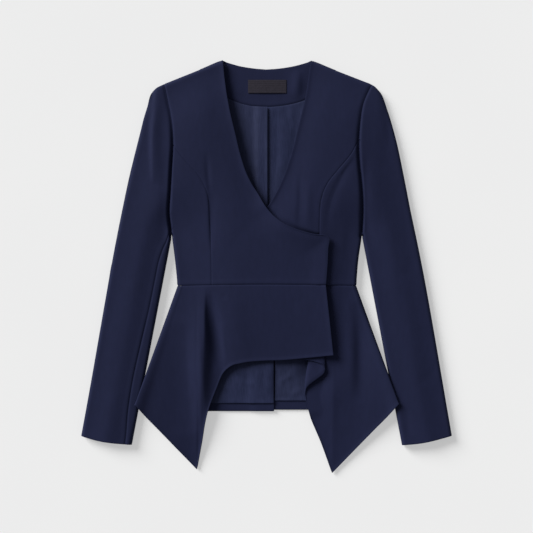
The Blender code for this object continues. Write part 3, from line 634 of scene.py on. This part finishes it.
def armholePoints(side):
    lower, upper = armholeDistances(side)
    path = curveThrough(armholeLine[side])
    return along(path, lower), along(path, upper)


def sidePoints(side):
    path = curveThrough(sideSeamLine[side])
    return along(path, np.array([*panelRows["belowUnderarm"], marksOf(path)[-1]]))


def princessPoints(side):
    lower, _ = armholePoints(side)
    path = curveThrough((lower[-1], *princessLine[side][1:]))
    return spread(path, len(lower) + len(sidePoints(side)))


def sideFront(side):
    lower, _ = armholePoints(side)
    outer = np.vstack([lower[::-1], sidePoints(side)])
    inner = princessPoints(side)
    inner[0] = outer[0] + panelRows["tip"] * (inner[1] - outer[0])
    columns = panelRows["sideColumns"]
    shares = []
    for index, (start, end) in enumerate(zip(outer, inner)):
        width = float(np.linalg.norm(end - start))
        aboveArm = float(np.linalg.norm(start - outer[len(lower) - 1])) if index < len(lower) else 0.0
        even = np.linspace(0.0, 1.0, len(rollSteps) + columns)
        rolled = sharesAcross(max(width, panelRows["rollWidth"]), rollSteps, columns)
        weight = float(ease(aboveArm / panelRows["rollOver"]))
        shares.append(even * weight + rolled * (1.0 - weight))
    return toWaist(rowsBetween(outer, inner, shares))


def centreFront(side):
    _, upper = armholePoints(side)
    outer = np.vstack([upper[::-1], princessPoints(side)])
    neck = curveThrough(neckLine[side])
    edge = curveThrough(freeEdgeLine[side])
    edgeRows = panelRows["edgeRows"]
    neckRows = len(outer) - len(rollSteps) - edgeRows
    steps = np.concatenate([rollSteps, np.linspace(rollSteps[-1], marksOf(neck)[-1], neckRows + 1)[1:]])
    inner = np.vstack([along(neck, steps), spread(edge, edgeRows + 1)[1:]])
    across = np.linspace(0.0, 1.0, panelRows["frontColumns"])
    return toWaist(rowsBetween(outer, inner, [across] * len(outer)))


def bentRows(outer, inner, top, shares, straightRows):
    run = np.linalg.norm(top - top[0], axis=1)
    run = run / run[-1]
    bend = top - (top[0] + run[:, None] * (top[-1] - top[0]))
    grid = []
    for index, (start, end) in enumerate(zip(outer, inner)):
        straight = (index - straightRows + 1) / (panelRows["bendOver"] * len(outer))
        weight = 1.0 - float(ease(straight))
        share = shares * (1.0 - weight) + run * weight
        grid.append(start + share[:, None] * (end - start) + weight * bend)
    return np.array(grid)


def backPanel(side):
    lower, upper = armholePoints(side)
    outer = np.vstack([upper[::-1], lower[::-1], sidePoints(side)])
    neck = curveThrough(backNeckLine)
    middle = len(neck) // 2
    halfNeck = neck[: middle + 1] if side == "right" else neck[middle:][::-1]
    fall = halfNeck[-1, 1] - waist["y"]
    others = len(outer) - len(rollSteps)
    drop = np.concatenate([rollSteps, np.linspace(rollSteps[-1], fall, others + 1)[1:]])
    centre = np.column_stack([np.zeros(len(outer)), halfNeck[-1, 1] - drop])
    shoulder = np.array(shoulderLine[side][::-1])
    shoulderSteps = [*rollSteps, *panelRows["alongShoulder"], marksOf(shoulder)[-1]]
    neckSteps = [laid["roll"] + 1.0, *panelRows["alongNeck"], marksOf(halfNeck)[-1]]
    top = np.vstack([along(shoulder, shoulderSteps), along(halfNeck, neckSteps)])
    top[-1, 0] = 0.0
    shares = sharesAcross(abs(outer[-1, 0]), rollSteps, len(top) - len(rollSteps))
    return toWaist(bentRows(outer, centre, top, shares, len(rollSteps)))


# Troughs below zero and ridges above: points of the crease, half width, depth
bodyCreases = {
    "right": (
        (((-104, 200), (-102, 166), (-99, 130)), 4.0, -1.3),
        (((-100, 142), (-97, 100), (-97, 30)), (3.4, 10.0), -2.0),
        (((-90, 120), (-90, 80), (-91, 40)), 5.0, 0.4),
        (((-160, 120), (-135, 60), (-124, 0)), 12.0, 0.5),
        (((-60, 300), (-98, 240)), 16.0, -0.35),
        (((-20, 86), (-60, 30), (-70, -20)), 14.0, -0.35),
        (((103, -28), (98, -33), (92, -34)), 2.4, -0.9),
    ),
    "left": (
        (((156, 192), (132, 160), (112, 118), (104, 64)), (3.0, 8.0), -1.4),
        (((59, 164), (58, 118), (56, 60)), (4.0, 8.0), -1.1),
        (((74, 150), (73, 110), (74, 66)), 6.0, 0.7),
        (((84, 280), (70, 200)), 14.0, 0.4),
        (((120, 300), (112, 220)), 16.0, -0.4),
        (((136, 90), (132, 40), (134, 0)), 7.0, 0.5),
    ),
}
backCreases = {
    "right": ((((-60, 220), (-75, 150), (-70, 70)), 9.0, -0.5), (((-130, 90), (-110, 30)), 8.0, -0.5)),
    "left": ((((70, 230), (66, 150), (74, 80)), 9.0, -0.5), (((126, 100), (112, 24)), 8.0, -0.5)),
}


def frontPieces():
    sideSeams = {"b": grooves["waist"], "e": grooves["flat"], "s": grooves["rolled"]}
    seams = {"b": grooves["waist"], "s": grooves["flat"], "t": grooves["rolled"], "e": grooves["curled"]}
    for side, height in (("right", wrapHeight), ("left", underHeight)):
        flip = side == "left"
        armhole = curveThrough(armholeLine[side])
        princess = curveThrough((armholePoints(side)[0][-1], *princessLine[side][1:]))
        sideSeam = curveThrough(sideSeamLine[side])
        grid = seamOnto(refined(sideFront(side), "be"), "s", (armhole, sideSeam))
        grid, normal = shaped(withHeight(grid, frontHeight), flip, bodyCreases[side], sideSeams)
        clothPiece(side + "_side_front", sunkAtArmhole(grid, side, "body", normal), "crepe", flip)
        grid = seamOnto(refined(centreFront(side), "bs"), "s", (armhole, princess))
        grid, normal = shaped(withHeight(grid, height), flip, bodyCreases[side], seams)
        clothPiece(side + "_front", sunkAtArmhole(grid, side, "body", normal), "crepe", flip)


def backPanels():
    seams = {"t": grooves["rolled"], "s": grooves["rolled"], "b": grooves["flat"], "e": grooves["flat"]}
    for side in sides:
        flip = side == "right"
        lines = (curveThrough(armholeLine[side]), curveThrough(sideSeamLine[side]))
        grid = withHeight(seamOnto(refined(backPanel(side), "be"), "s", lines), backHeight)
        grid, _ = shaped(grid, flip, backCreases[side], seams)
        clothPiece("back_" + side, grid, "crepe", flip)


# Sleeves: where each section starts on the inner edge and ends on the outer edge, as shares of
# those edges, and the distance of the forearm seam from the inner edge there
sleeveSections = (
    (0.0, 0.0, 14.0), (0.008, 0.035, 14.0), (0.018, 0.09, 14.0), (0.03, 0.17, 14.0),
    (0.05, 0.27, 14.0), (0.085, 0.37, 14.0), (0.14, 0.46, 14.0), (0.23, 0.54, 14.0),
    (0.36, 0.62, 14.5), (0.52, 0.71, 17.0), (0.69, 0.815, 19.0), (0.85, 0.91, 17.0),
    (0.96, 0.975, 12.5), (1.0, 1.0, 11.5),
)
# Share of the length over which the armhole's bend fades, how late the cuff's bend comes in, how
# far round the top the creases go, and how near the rolled edges points may leave their skin
sleeve = {"bendOver": 0.12, "cuffPower": 6, "creasedTo": -0.2, "skinFrom": 3.0}
sleeveCreases = {
    "right": (
        (((-190, 316), (-195, 274), (-198.5, 240), (-198.5, 206), (-197, 146)), (4.4, 14.0), 5.2),
        (((-177, 200), (-176, 140), (-176, 90), (-182, 30)), (11.0, 8.0), -1.5),
        (((-230, 120), (-246, 40), (-256, -60)), 16.0, 0.5),
        (((-208, -80), (-220, -160), (-236, -240), (-244, -290)), 4.5, -0.9),
        (((-252, -40), (-266, -120), (-284, -220)), 12.0, 0.55),
        (((-272, 10), (-256, -20), (-234, -30)), 10.0, -0.4),
        (((-300, -190), (-272, -214), (-250, -212)), 9.0, -0.35),
    ),
    "left": (
        (((203, 300), (212, 258), (219, 205)), 6.0, -1.4),
        (((190, 306), (194, 250), (196, 170)), 10.0, 0.5),
        (((174, 200), (173, 140), (174, 90), (184, 30)), (7.0, 9.0), -1.8),
        (((224, 60), (236, -60), (252, -190)), 10.0, -0.6),
        (((252, 100), (266, 0), (280, -110)), 13.0, 0.5),
        (((240, -240), (246, -270), (250, -300)), 6.0, -0.8),
        (((262, 20), (244, -10), (226, -12)), 10.0, -0.35),
        (((300, -170), (278, -196), (256, -200)), 9.0, -0.35),
    ),
}


def sleeveSkins(side):
    lower, upper = armholePoints(side)
    armhole = np.vstack([lower, upper])
    marks = np.concatenate(armholeDistances(side))
    outerPath = curveThrough(sleeveOuterLine[side])
    innerPath = np.array([armholeLine[side][0], cuffLine[side][0]])
    cuffPath = curveThrough(cuffLine[side])
    between = np.linspace(0.0, 1.0, len(armhole) - 2 * len(rollSteps) + 1)[1:-1]
    atArm = marks / marks[-1]
    bow = armhole - (armhole[0] + atArm[:, None] * (armhole[-1] - armhole[0]))
    grid = []
    for innerShare, outerShare, forearm in sleeveSections:
        start = along(innerPath, [innerShare * marksOf(innerPath)[-1]])[0]
        end = along(outerPath, [outerShare * marksOf(outerPath)[-1]])[0]
        width = float(np.linalg.norm(end - start))
        middle = forearm + between * (width - laid["roll"] - forearm)
        crossing = np.concatenate([rollSteps, [forearm], middle, width - np.array(rollSteps[::-1])])
        near = 1.0 - float(ease(innerShare / sleeve["bendOver"]))
        share = atArm * near + crossing / width * (1.0 - near)
        row = start + share[:, None] * (end - start)
        hem = along(cuffPath, share * marksOf(cuffPath)[-1])
        sag = hem - (hem[0] + share[:, None] * (hem[-1] - hem[0]))
        grid.append(row + bow * near + sag * innerShare ** sleeve["cuffPower"])
    return np.array(grid)


def onSkin(grid):
    # puts refined points back on the upper or the under skin, whichever they lie nearer
    x, y = grid[..., 0], grid[..., 1]
    height = np.where(grid[..., 2] > laid["roll"], frontHeight(x, y), backHeight(x, y))
    grid[..., 2] += (height - grid[..., 2]) * ease(edgeDistance(x, y) / sleeve["skinFrom"])
    return grid


def sleevePieces():
    seams = {"s": grooves["sleeve"], "e": grooves["sleeve"]}
    for side in sides:
        flip = side == "right"
        skin = sleeveSkins(side)
        armhole = curveThrough(armholeLine[side])
        forearm = len(rollSteps)
        hindarm = skin.shape[1] - 1 - (len(rollSteps) + 1)
        top = withHeight(skin, frontHeight)
        under = withHeight(skin, backHeight)
        backOfArm = under[:, : hindarm - 1 : -1][:, 1:]
        if side == "right":
            upper = np.concatenate([top[:, forearm:], backOfArm], axis=1)
            lower = np.concatenate([top[:, forearm:0:-1], under[:, : hindarm + 1]], axis=1)[:, ::-1]
        else:
            upper = np.concatenate([under[:, forearm:0:-1], top, backOfArm], axis=1)
            lower = under[:, forearm: hindarm + 1][:, ::-1]
        for name, panel in (("_top_sleeve", upper), ("_under_sleeve", lower)):
            grid = onSkin(seamOnto(refined(panel, "tse"), "t", (armhole,)))
            normal = normals(grid, flip)
            if name == "_top_sleeve":
                above = (normal[..., 2] > sleeve["creasedTo"])[..., None]
                grid = np.where(above, withCreases(grid, sleeveCreases[side], normal), grid)
            grid = sunkAtArmhole(pressed(grid, seams, normal), side, "sleeve", normal)
            clothPiece(side + name, grid, "crepe", flip)


# Peplum fronts, from the side seam to the free edge: each fold runs down from the waist seam to
# the hem, and stands swell above the straight run between; tuck 1 stays gathered under the wrap
foldColumns = ("waistX", "hemX", "hemY", "hemZ", "swell", "tuck")
peplumFolds = {
    "right": (
        (-146.0, -214.0, -258.9, 13.5, 1.0, 0),
        (-141.0, -190.0, -284.1, 10.5, 2.0, 0),
        (-134.0, -158.0, -317.8, 7.0, 4.0, 0),
        (-121.0, -122.3, -355.3, 3.6, 7.0, 0),
        (-112.0, -112.9, -305.5, 9.5, 7.5, 0),
        (-108.0, -103.4, -255.3, 14.0, 4.5, 0),
        (-104.0, -88.0, -213.4, 12.5, -3.5, 0),
        (-99.0, -76.2, -186.2, 12.5, -4.5, 0),
        (-89.0, -61.5, -172.6, 16.5, 0.0, 0),
        (-74.0, -46.2, -168.0, 17.8, 1.0, 0),
        (-30.0, -11.2, -163.6, 17.5, 0.0, 0),
        (15.0, 27.0, -162.3, 17.5, 0.0, 0),
        (60.0, 66.7, -158.9, 18.0, 0.0, 0),
        (103.4, 116.7, -153.8, 20.0, 0.5, 0),
    ),
    "left": (
        (148.5, 214.9, -258.1, 13.5, 0.0, 0),
        (143.0, 189.1, -284.9, 10.2, -1.5, 0),
        (134.0, 154.1, -321.5, 6.4, 0.0, 0),
        (118.0, 115.5, -361.7, 4.0, 1.5, 0),
        (108.0, 97.5, -311.7, 4.4, 0.5, 0),
        (98.0, 74.4, -253.9, 5.8, 0.0, 1),
        (92.0, 69.2, -232.0, 7.0, 0.0, 1),
        (89.5, 67.9, -219.0, 8.4, 0.0, 1),
        (88.0, 70.5, -210.4, 11.0, 0.0, 1),
        (86.0, 87.3, -196.2, 12.4, 0.0, 1),
        (84.0, 101.3, -184.5, 12.8, 0.0, 1),
        (82.5, 103.4, -178.0, 14.2, 0.0, 1),
        (81.0, 101.3, -172.6, 15.2, 0.0, 1),
        (76.0, 87.3, -165.9, 15.0, 0.0, 1),
        (66.0, 66.7, -162.2, 14.0, 0.0, 0),
        (20.0, 22.0, -158.0, 13.6, 0.0, 0),
        (-30.0, -20.0, -157.0, 13.4, 0.0, 0),
        (-100.0, -58.0, -156.0, 13.2, 0.0, 0),
    ),
}
# When the tuck opens and settles on the way down, the fold at the point, and the least height
# over the lining and over the back skirt's turned-up hem, by the height above the corner
peplum = {
    "tuckOpens": 0.22, "tuckSettles": 0.3, "pointFold": 3,
    "overLining": 4.8, "overHem": 7.2, "hemLead": 62.0, "hemOver": 26.0,
    "pointLead": 48.0, "pointOver": 36.0, "facesUp": 0.7,
}
peplumCreases = {
    "right": (
        (((-104, -50), (-100, -100), (-90, -150), (-78, -184)), (5.0, 9.0), -1.6),
        (((-79, -96), (-75, -132), (-70, -172)), 3.2, 1.3),
        (((-144, -100), (-141, -190), (-132, -290)), (34.0, 12.0), -4.2),
        (((-121, -70), (-118, -140), (-110, -230), (-112, -306)), (13.0, 7.0), 1.9),
        (((-40, -60), (-30, -120)), 14.0, -0.35),
        (((60, -60), (66, -120)), 12.0, 0.4),
        (((-76, -46), (-72, -58)), 2.6, -0.5),
    ),
    "left": (
        (((140, -42), (147, -130), (154, -236)), (34.0, 34.0), 1.2),
        (((145, -42), (150, -93), (150, -130), (152, -230)), (12.0, 8.0), 0.8),
        (((158, -60), (163, -93), (165, -128), (164.5, -163), (164, -236)), (11.0, 18.0), -3.4),
        (((116, -44), (122, -101), (124, -149), (110, -188), (84, -214)), (14.0, 24.0), -4.0),
        (((128, -200), (126, -290)), 10.0, -0.5),
    ),
}


def dropShare(t):
    # slow at the waist, even further down
    return t * t * (2.0 - t)


def sideLine(side, t):
    start = np.array(sideSeamLine[side][-1])
    end = np.array(peplumCorner[side])
    height = laid["roll"] + laid["cornerRise"] * dropShare(t)
    radius = laid["roll"] + (laid["cornerRoll"] - laid["roll"]) * dropShare(t)
    return start + t * (end - start), height, radius


def rolledColumns(side, t, direction):
    edge, height, radius = sideLine(side, t)
    row = []
    for angle in np.radians(rollAngles):
        across = inward[side] * radius * (1.0 - math.cos(angle))
        row.append([edge[0] + across, edge[1], height + direction * radius * math.sin(angle)])
    return row


def swellShare(t):
    return 16.0 * t * t * (1.0 - t) ** 2  # 1 midway down, 0 at the waist and at the hem


def frontPeplum(side, height, shares):
    grid = []
    for t in shares:
        row = rolledColumns(side, t, 1.0)
        opened = float(ease((t - peplum["tuckOpens"]) / (1.0 - peplum["tuckOpens"])))
        for values in peplumFolds[side]:
            fold = dict(zip(foldColumns, values))
            startY = waistY(fold["waistX"])
            startZ = float(height(fold["waistX"], startY))
            gather = opened if fold["tuck"] else t
            settle = float(ease(t / peplum["tuckSettles"])) if fold["tuck"] else dropShare(t)
            row.append([
                fold["waistX"] + gather * (fold["hemX"] - fold["waistX"]),
                startY + t * (fold["hemY"] - startY),
                startZ + settle * (fold["hemZ"] - startZ) + fold["swell"] * swellShare(t),
            ])
        grid.append(row)
    return np.array(grid)


peplumShares = np.concatenate([[0.0, 0.003, 0.007, 0.013, 0.021], np.linspace(0.03, 1.0, 66)])


def peplumPieces():
    seams = {"t": grooves["peplum"], "s": grooves["rolled"], "b": grooves["curled"], "e": grooves["curled"]}
    for side, height in (("right", wrapHeight), ("left", underHeight)):
        flip = side == "left"
        across = frontPeplum(side, height, peplumShares).transpose(1, 0, 2)
        marks = meanMarks(across)
        places = splitSpans(marks)
        corners = (len(rollAngles) - 1, len(rollAngles) + peplum["pointFold"])
        flat = smoothThrough(across[..., :2], marks, places, corners)
        rise = smoothThrough(across[..., 2:], marks, places)
        grid = np.concatenate([flat, rise], axis=2).transpose(1, 0, 2)
        grid, normal = shaped(grid, flip, peplumCreases[side], seams)
        aboveCorner = grid[..., 1] - peplumCorner[side][1]
        nearHem = ease((peplum["hemLead"] - aboveCorner) / peplum["hemOver"])
        lowest = peplum["overLining"] + (peplum["overHem"] - peplum["overLining"]) * nearHem
        lowest = lowest * ease((aboveCorner + peplum["pointLead"]) / peplum["pointOver"])
        lowest = np.where(normal[..., 2] > peplum["facesUp"], lowest, -np.inf)
        grid[..., 2] = np.maximum(grid[..., 2], lowest)
        clothPiece(side + "_peplum", grid, "crepe", flip)


# Back peplum, flat but for its rolled sides, with a lapped vent and a turned-up hem
backPeplum = {
    "ventTop": -70.0, "ventSlant": 20.0, "hemTurnUp": 22.0, "hemFold": 1.8, "hemReach": 90.0,
    "lapLift": 1.9, "lapFrom": -32.0, "lapOver": 12.0, "lapTop": -40.0, "lapSlant": 22.0,
    "edgeX": {"right": 13.5, "left": -14.0},
    "hemY": {"right": -253.4, "left": -251.0},
    "liningHemY": {"right": -239.0, "left": -234.5},
    "rampOver": 26.0, "rampSteps": (3.0, 8.0, 14.0, 20.0, 30.0),
    "lapSteps": (46.0, 30.0, 20.0, 0.0),
}


def ventEdgeX(side, y):
    return backPeplum["edgeX"][side] * ease((backPeplum["ventTop"] - y) / backPeplum["ventSlant"])


def lapRise(x, y, lift):
    across = ease((x - backPeplum["lapFrom"]) / backPeplum["lapOver"])
    return lift * across * ease((backPeplum["lapTop"] - y) / backPeplum["lapSlant"])


def hemRise(side, x):
    # the hem climbs to the corner at the side seam
    cornerX, cornerY = peplumCorner[side]
    flatter = ease((x - cornerX) * inward[side] / backPeplum["hemReach"])
    return (cornerY - backPeplum["hemY"][side]) * (1.0 - flatter)


def backPeplumGrid(side, shares):
    grid = []
    for t in shares:
        edge, seamZ, radius = sideLine(side, t)
        row = rolledColumns(side, t, -1.0)
        centreY = waist["y"] + t * (backPeplum["hemY"][side] + backPeplum["hemFold"] - waist["y"])
        reach = abs(ventEdgeX(side, centreY) - edge[0])
        ramp = [radius + step for step in backPeplum["rampSteps"]]
        middle = list(np.linspace(ramp[-1], reach - backPeplum["lapSteps"][0], 4)[1:-1])
        for distance in (*ramp, *middle, *(reach - step for step in backPeplum["lapSteps"])):
            x = edge[0] + inward[side] * distance
            atHem = float(ease(distance / backPeplum["hemReach"]))
            level = (1.0 - t) * (1.0 - (x / waist["half"]) ** 2) + t * atHem
            y = edge[1] + (centreY - edge[1]) * level
            z = (seamZ - radius) * (1.0 - float(ease((distance - radius) / backPeplum["rampOver"])))
            if side == "right":
                z += float(lapRise(x, y, backPeplum["lapLift"]))
            row.append([x, y, z])
        grid.append(row)
    return np.array(grid)


def hemTurnedUp(panel, columns):
    # rows that go on from the hem, round its fold and up over the cloth
    hem = panel[-1, columns]
    fold = backPeplum["hemFold"]
    rows = []
    for angle in np.radians(np.linspace(22.5, 180.0, 8)):
        rows.append(hem + [0.0, -fold * math.sin(angle), fold * (1.0 - math.cos(angle))])
    folded = rows[-1]
    for step in np.linspace(0.0, backPeplum["hemTurnUp"] - fold, 7)[1:]:
        rows.append(folded + [0.0, step, 0.0])
    return np.array(rows)


def backPeplumPieces():
    lastRamp = len(rollAngles) + len(backPeplum["rampSteps"]) - 1
    for side in sides:
        flip = side == "right"
        across = backPeplumGrid(side, peplumShares[::2]).transpose(1, 0, 2)
        marks = meanMarks(across)
        places = splitSpans(marks)
        grid = smoothThrough(across, marks, places).transpose(1, 0, 2)
        grid[..., 2] = np.maximum(grid[..., 2], 0.0)
        start = int(np.searchsorted(places, marks[lastRamp]))
        stop = len(places) if side == "right" else int(np.searchsorted(places, marks[-2]))
        turned = slice(start, stop)
        flap = (turned, hemTurnedUp(grid, turned))
        clothPiece("back_peplum_" + side, grid, "crepe", flip, flap)


# Inside of the back: facing, label and linings
inside = {
    "facingHalf": 63.0, "facingInset": 0.6,
    "labelCentre": (1.5, 317.1), "labelSize": (67.4, 23.4), "labelBow": 0.7, "labelGap": 0.1,
    "pleatEdge": {"right": 1.9, "left": -10.0}, "pleatLift": 3.2, "pleatFrom": -24.0, "pleatOver": 10.0,
    "liningInset": 9.0, "liningTop": 312.0, "liningSeam": 0.4, "liningLift": 1.0, "shell": 1.6,
}
facingCreases = (
    (((-50, 318), (-44, 300)), 6.0, 0.3),
    (((56, 346), (55, 318), (53, 294)), (11.0, 7.0), 2.8),
)
liningCreases = {
    "right": (
        (((-40, 282), (-40, 262)), 3.0, -0.45),
        (((-22, 281), (-23, 258)), 3.0, -0.5),
        (((-31, 281), (-31, 264)), 3.0, 0.35),
        (((0, 280), (1, 220), (1, 110)), 2.6, 0.6),
    ),
    "left": (
        (((10, 282), (10, 262)), 2.6, 0.4),
        (((18, 281), (19, 205), (12, 130)), 2.8, -0.6),
        (((26, 282), (28, 205), (17, 122)), (8.0, 17.0), 0.9),
        (((34, 284), (35, 262)), 2.6, -0.5),
        (((44, 284), (44, 256)), 2.8, 0.6),
        (((56, 286), (52, 240), (38, 176)), 5.0, -0.7),
        (((68, 290), (66, 250), (58, 214)), 4.5, 1.0),
    ),
}
# Lining of the back skirt: it bulges under the wrap's hem, lies over the turned-up hem and laps
# at the vent
skirtLining = {
    "rows": np.concatenate([np.linspace(0.0, 0.78, 14), np.linspace(0.8, 1.0, 16)]),
    "columns": np.concatenate([np.linspace(0.0, 0.7, 18), np.linspace(0.72, 1.0, 14)]),
    "hemInset": 36.0, "insetOver": 0.2, "ventInset": 0.8, "lapPast": 1.2, "gap": 0.42,
    "hemLead": 50.0, "hemOver": 38.0, "lapLead": 4.0, "lapGap": 0.1,
    "bulge": 6.0, "bulgeFoot": -232.0, "footOver": 62.0, "bulgeTop": -70.0, "topOver": 60.0,
    "bulgeHalf": 78.0, "halfOver": 30.0,
}
skirtLiningCreases = {
    "right": (
        (((-66, -170), (-70, -220)), 6.0, 0.8),
        (((-40, -176), (-44, -226)), 8.0, 0.6),
        (((-20, -170), (-14, -200), (-16, -232)), 5.0, 0.7),
        (((2, -168), (4, -226)), 3.0, 0.8),
        (((8, -160), (8, -232)), (26.0, 6.0), 1.4),
        (((-60, -196), (-30, -206), (-4, -200)), 6.0, 0.6),
    ),
    "left": (
        (((24, -172), (27, -200), (24, -226)), 3.5, 0.3),
        (((36, -176), (32, -202), (40, -226)), 3.0, -0.4),
        (((46, -182), (50, -222)), 5.0, -0.5),
        (((20, -204), (33, -196), (46, -186)), 5.0, 1.0),
        (((40, -228), (50, -222), (60, -212)), 5.0, 0.9),
        (((18, -226), (32, -230), (44, -226)), 3.0, -0.6),
    ),
}


def neckFacing():
    neck = curveThrough(backNeckLine)
    neck = neck[np.abs(neck[:, 0]) < inside["facingHalf"]] - [0.0, inside["facingInset"]]
    hem = curveThrough(facingHemLine)
    shares = np.linspace(0.0, 1.0, 5)[:, None, None]
    flat = spread(neck, 15) * (1.0 - shares) + spread(hem, 15) * shares
    level = inside["shell"] + laid["clear"] + wall["facing"]
    grid = refined(np.dstack([flat, np.full(flat.shape[:2], level)]), "b")
    grid, _ = shaped(grid, False, facingCreases, {"b": grooves["facingHem"]})
    clothPiece("neck_facing", grid, "facing")


def label():
    across = np.linspace(-0.5, 0.5, 41)
    down = np.linspace(0.5, -0.5, 15)
    base = inside["shell"] + 2.0 * laid["clear"] + wall["facing"] + wall["label"] + inside["labelGap"]
    centreX, centreY = inside["labelCentre"]
    width, length = inside["labelSize"]
    grid = np.array([[[centreX + width * u, centreY + length * v,
                       base + inside["labelBow"] * (1.0 - 4.0 * u * u)] for u in across] for v in down])
    piece = clothPiece("label", grid, "label")
    piece.modifiers["foldedEdge"].segments = 3


def backLining(side):
    pleatX = inside["pleatEdge"][side]
    outer = np.vstack([curveThrough(armholeLine[side])[::-1], curveThrough(sideSeamLine[side])[1:]])
    outer = outer[outer[:, 1] < inside["liningTop"]] + [inward[side] * inside["liningInset"], 0.0]
    outer = spread(outer, 9)
    facing = curveThrough(facingHemLine) - [0.0, inside["liningSeam"]]
    facing = facing[facing[:, 0] < pleatX] if side == "right" else facing[facing[:, 0] > pleatX][::-1]
    top = spread(np.vstack([outer[0], facing, [pleatX, facing[-1, 1]]]), 13)
    inner = np.column_stack([np.full(9, pleatX), np.linspace(facing[-1, 1], waistY(pleatX), 9)])
    flat = refined(toWaist(bentRows(outer, inner, top, np.linspace(0.0, 1.0, 13), 1), 2), "te")
    height = np.full(flat.shape[:2], inside["shell"] + laid["clear"] + inside["liningLift"])
    if side == "right":
        height += inside["pleatLift"] * ease((flat[..., 0] - inside["pleatFrom"]) / inside["pleatOver"])
    flip = side == "left"
    grid, _ = shaped(np.dstack([flat, height]), flip, liningCreases[side], {"t": grooves["lining"]})
    clothPiece("back_lining_" + side, grid, "lining", flip)


def skirtLiningEnd(side, y):
    # the right lining stops short of the vent's edge; the left one runs on under the lap
    slant = backPeplum["ventSlant"]
    if side == "right":
        stop = skirtLining["ventInset"] * float(ease((backPeplum["ventTop"] - y) / slant))
        return ventEdgeX(side, y) - stop
    past = float(ease((backPeplum["ventTop"] + slant - y) / slant))
    return (backPeplum["edgeX"]["right"] + skirtLining["lapPast"]) * past


def skirtLiningHeight(side, x, y):
    z = inside["shell"] + skirtLining["gap"] + inside["liningLift"]
    overHem = 2.0 * backPeplum["hemFold"] - inside["shell"] + laid["clear"]
    hemTop = backPeplum["liningHemY"][side] + skirtLining["hemLead"]
    z += overHem * ease((hemTop - y) / skirtLining["hemOver"])
    bulge = ease((y - skirtLining["bulgeFoot"]) / skirtLining["footOver"])
    bulge = bulge * ease((skirtLining["bulgeTop"] - y) / skirtLining["topOver"])
    bulge = bulge * ease((skirtLining["bulgeHalf"] - abs(x)) / skirtLining["halfOver"])
    z += skirtLining["bulge"] * bulge
    if side == "right":
        lead = skirtLining["lapLead"]
        z += lapRise(x + lead, y - lead, backPeplum["lapLift"] + skirtLining["lapGap"])
    return float(z)


def peplumLining(side):
    hemY = backPeplum["liningHemY"][side]
    widening = skirtLining["hemInset"] - inside["liningInset"]
    grid = []
    for t in skirtLining["rows"]:
        edge, _, _ = sideLine(side, t)
        inset = inside["liningInset"] + widening * float(ease(t / skirtLining["insetOver"]))
        y = waist["y"] + t * (hemY - waist["y"])
        start = edge[0] + inward[side] * inset
        end = skirtLiningEnd(side, y)
        row = []
        for share in skirtLining["columns"]:
            x = start + share * (end - start)
            level = (1.0 - t) * (waistY(x) - waist["y"]) + t * float(hemRise(side, x))
            row.append([x, y + level, skirtLiningHeight(side, x, y)])
        grid.append(row)
    flip = side == "left"
    grid, _ = shaped(refined(np.array(grid)), flip, skirtLiningCreases[side], {})
    clothPiece("peplum_lining_" + side, grid, "lining", flip)


# Table, light and camera: here, sizes that name no unit are metres
studio = {
    "pixels": 533, "mmPerPixel": 1.75, "lensMm": 85.0, "sensorMm": 36.0, "focusHeight": 0.012,
    "centre": (0.0002, 0.0009), "tableSize": 60.0, "tableHeight": -0.0002,
    "keyFrom": (-1.0, 0.84, 0.62), "keySpread": 30.0, "keyStrength": 5.35,
    "air": "#f6f7fa", "airStrength": 0.27,
}


def table():
    bpy.ops.mesh.primitive_plane_add(size=studio["tableSize"], location=(0.0, 0.0, studio["tableHeight"]))
    top = bpy.context.active_object
    top.name = "table"
    top.data.materials.append(boardFinish)


def roomLight():
    world = bpy.data.worlds.new("studioAir")
    world.use_nodes = True
    background = world.node_tree.nodes["Background"]
    background.inputs["Color"].default_value = linearColour(studio["air"])
    background.inputs["Strength"].default_value = studio["airStrength"]
    bpy.context.scene.world = world
    bpy.context.scene.view_settings.view_transform = "Standard"
    key = bpy.data.lights.new("keyLight", "SUN")
    key.energy = studio["keyStrength"]
    key.angle = math.radians(studio["keySpread"])  # a wide, far softbox at the upper left
    holder = bpy.data.objects.new("keyLight", key)
    bpy.context.scene.collection.objects.link(holder)
    holder.location = studio["keyFrom"]
    holder.rotation_mode = "QUATERNION"
    holder.rotation_quaternion = holder.location.to_track_quat("Z", "Y")


def camera():
    view = bpy.data.cameras.new("overhead")
    view.lens = studio["lensMm"]
    view.sensor_width = studio["sensorMm"]
    holder = bpy.data.objects.new("overhead", view)
    bpy.context.scene.collection.objects.link(holder)
    across = studio["pixels"] * studio["mmPerPixel"] * mm
    height = across * studio["lensMm"] / studio["sensorMm"] + studio["focusHeight"]
    holder.location = (*studio["centre"], height)
    bpy.context.scene.camera = holder


table()
roomLight()
camera()
print("table, light and camera set")
backPanels()
backPeplumPieces()
neckFacing()
label()
for side in sides:
    backLining(side)
    peplumLining(side)
print("back and inside made")
frontPieces()
peplumPieces()
sleevePieces()
print("fronts, peplum and sleeves made")
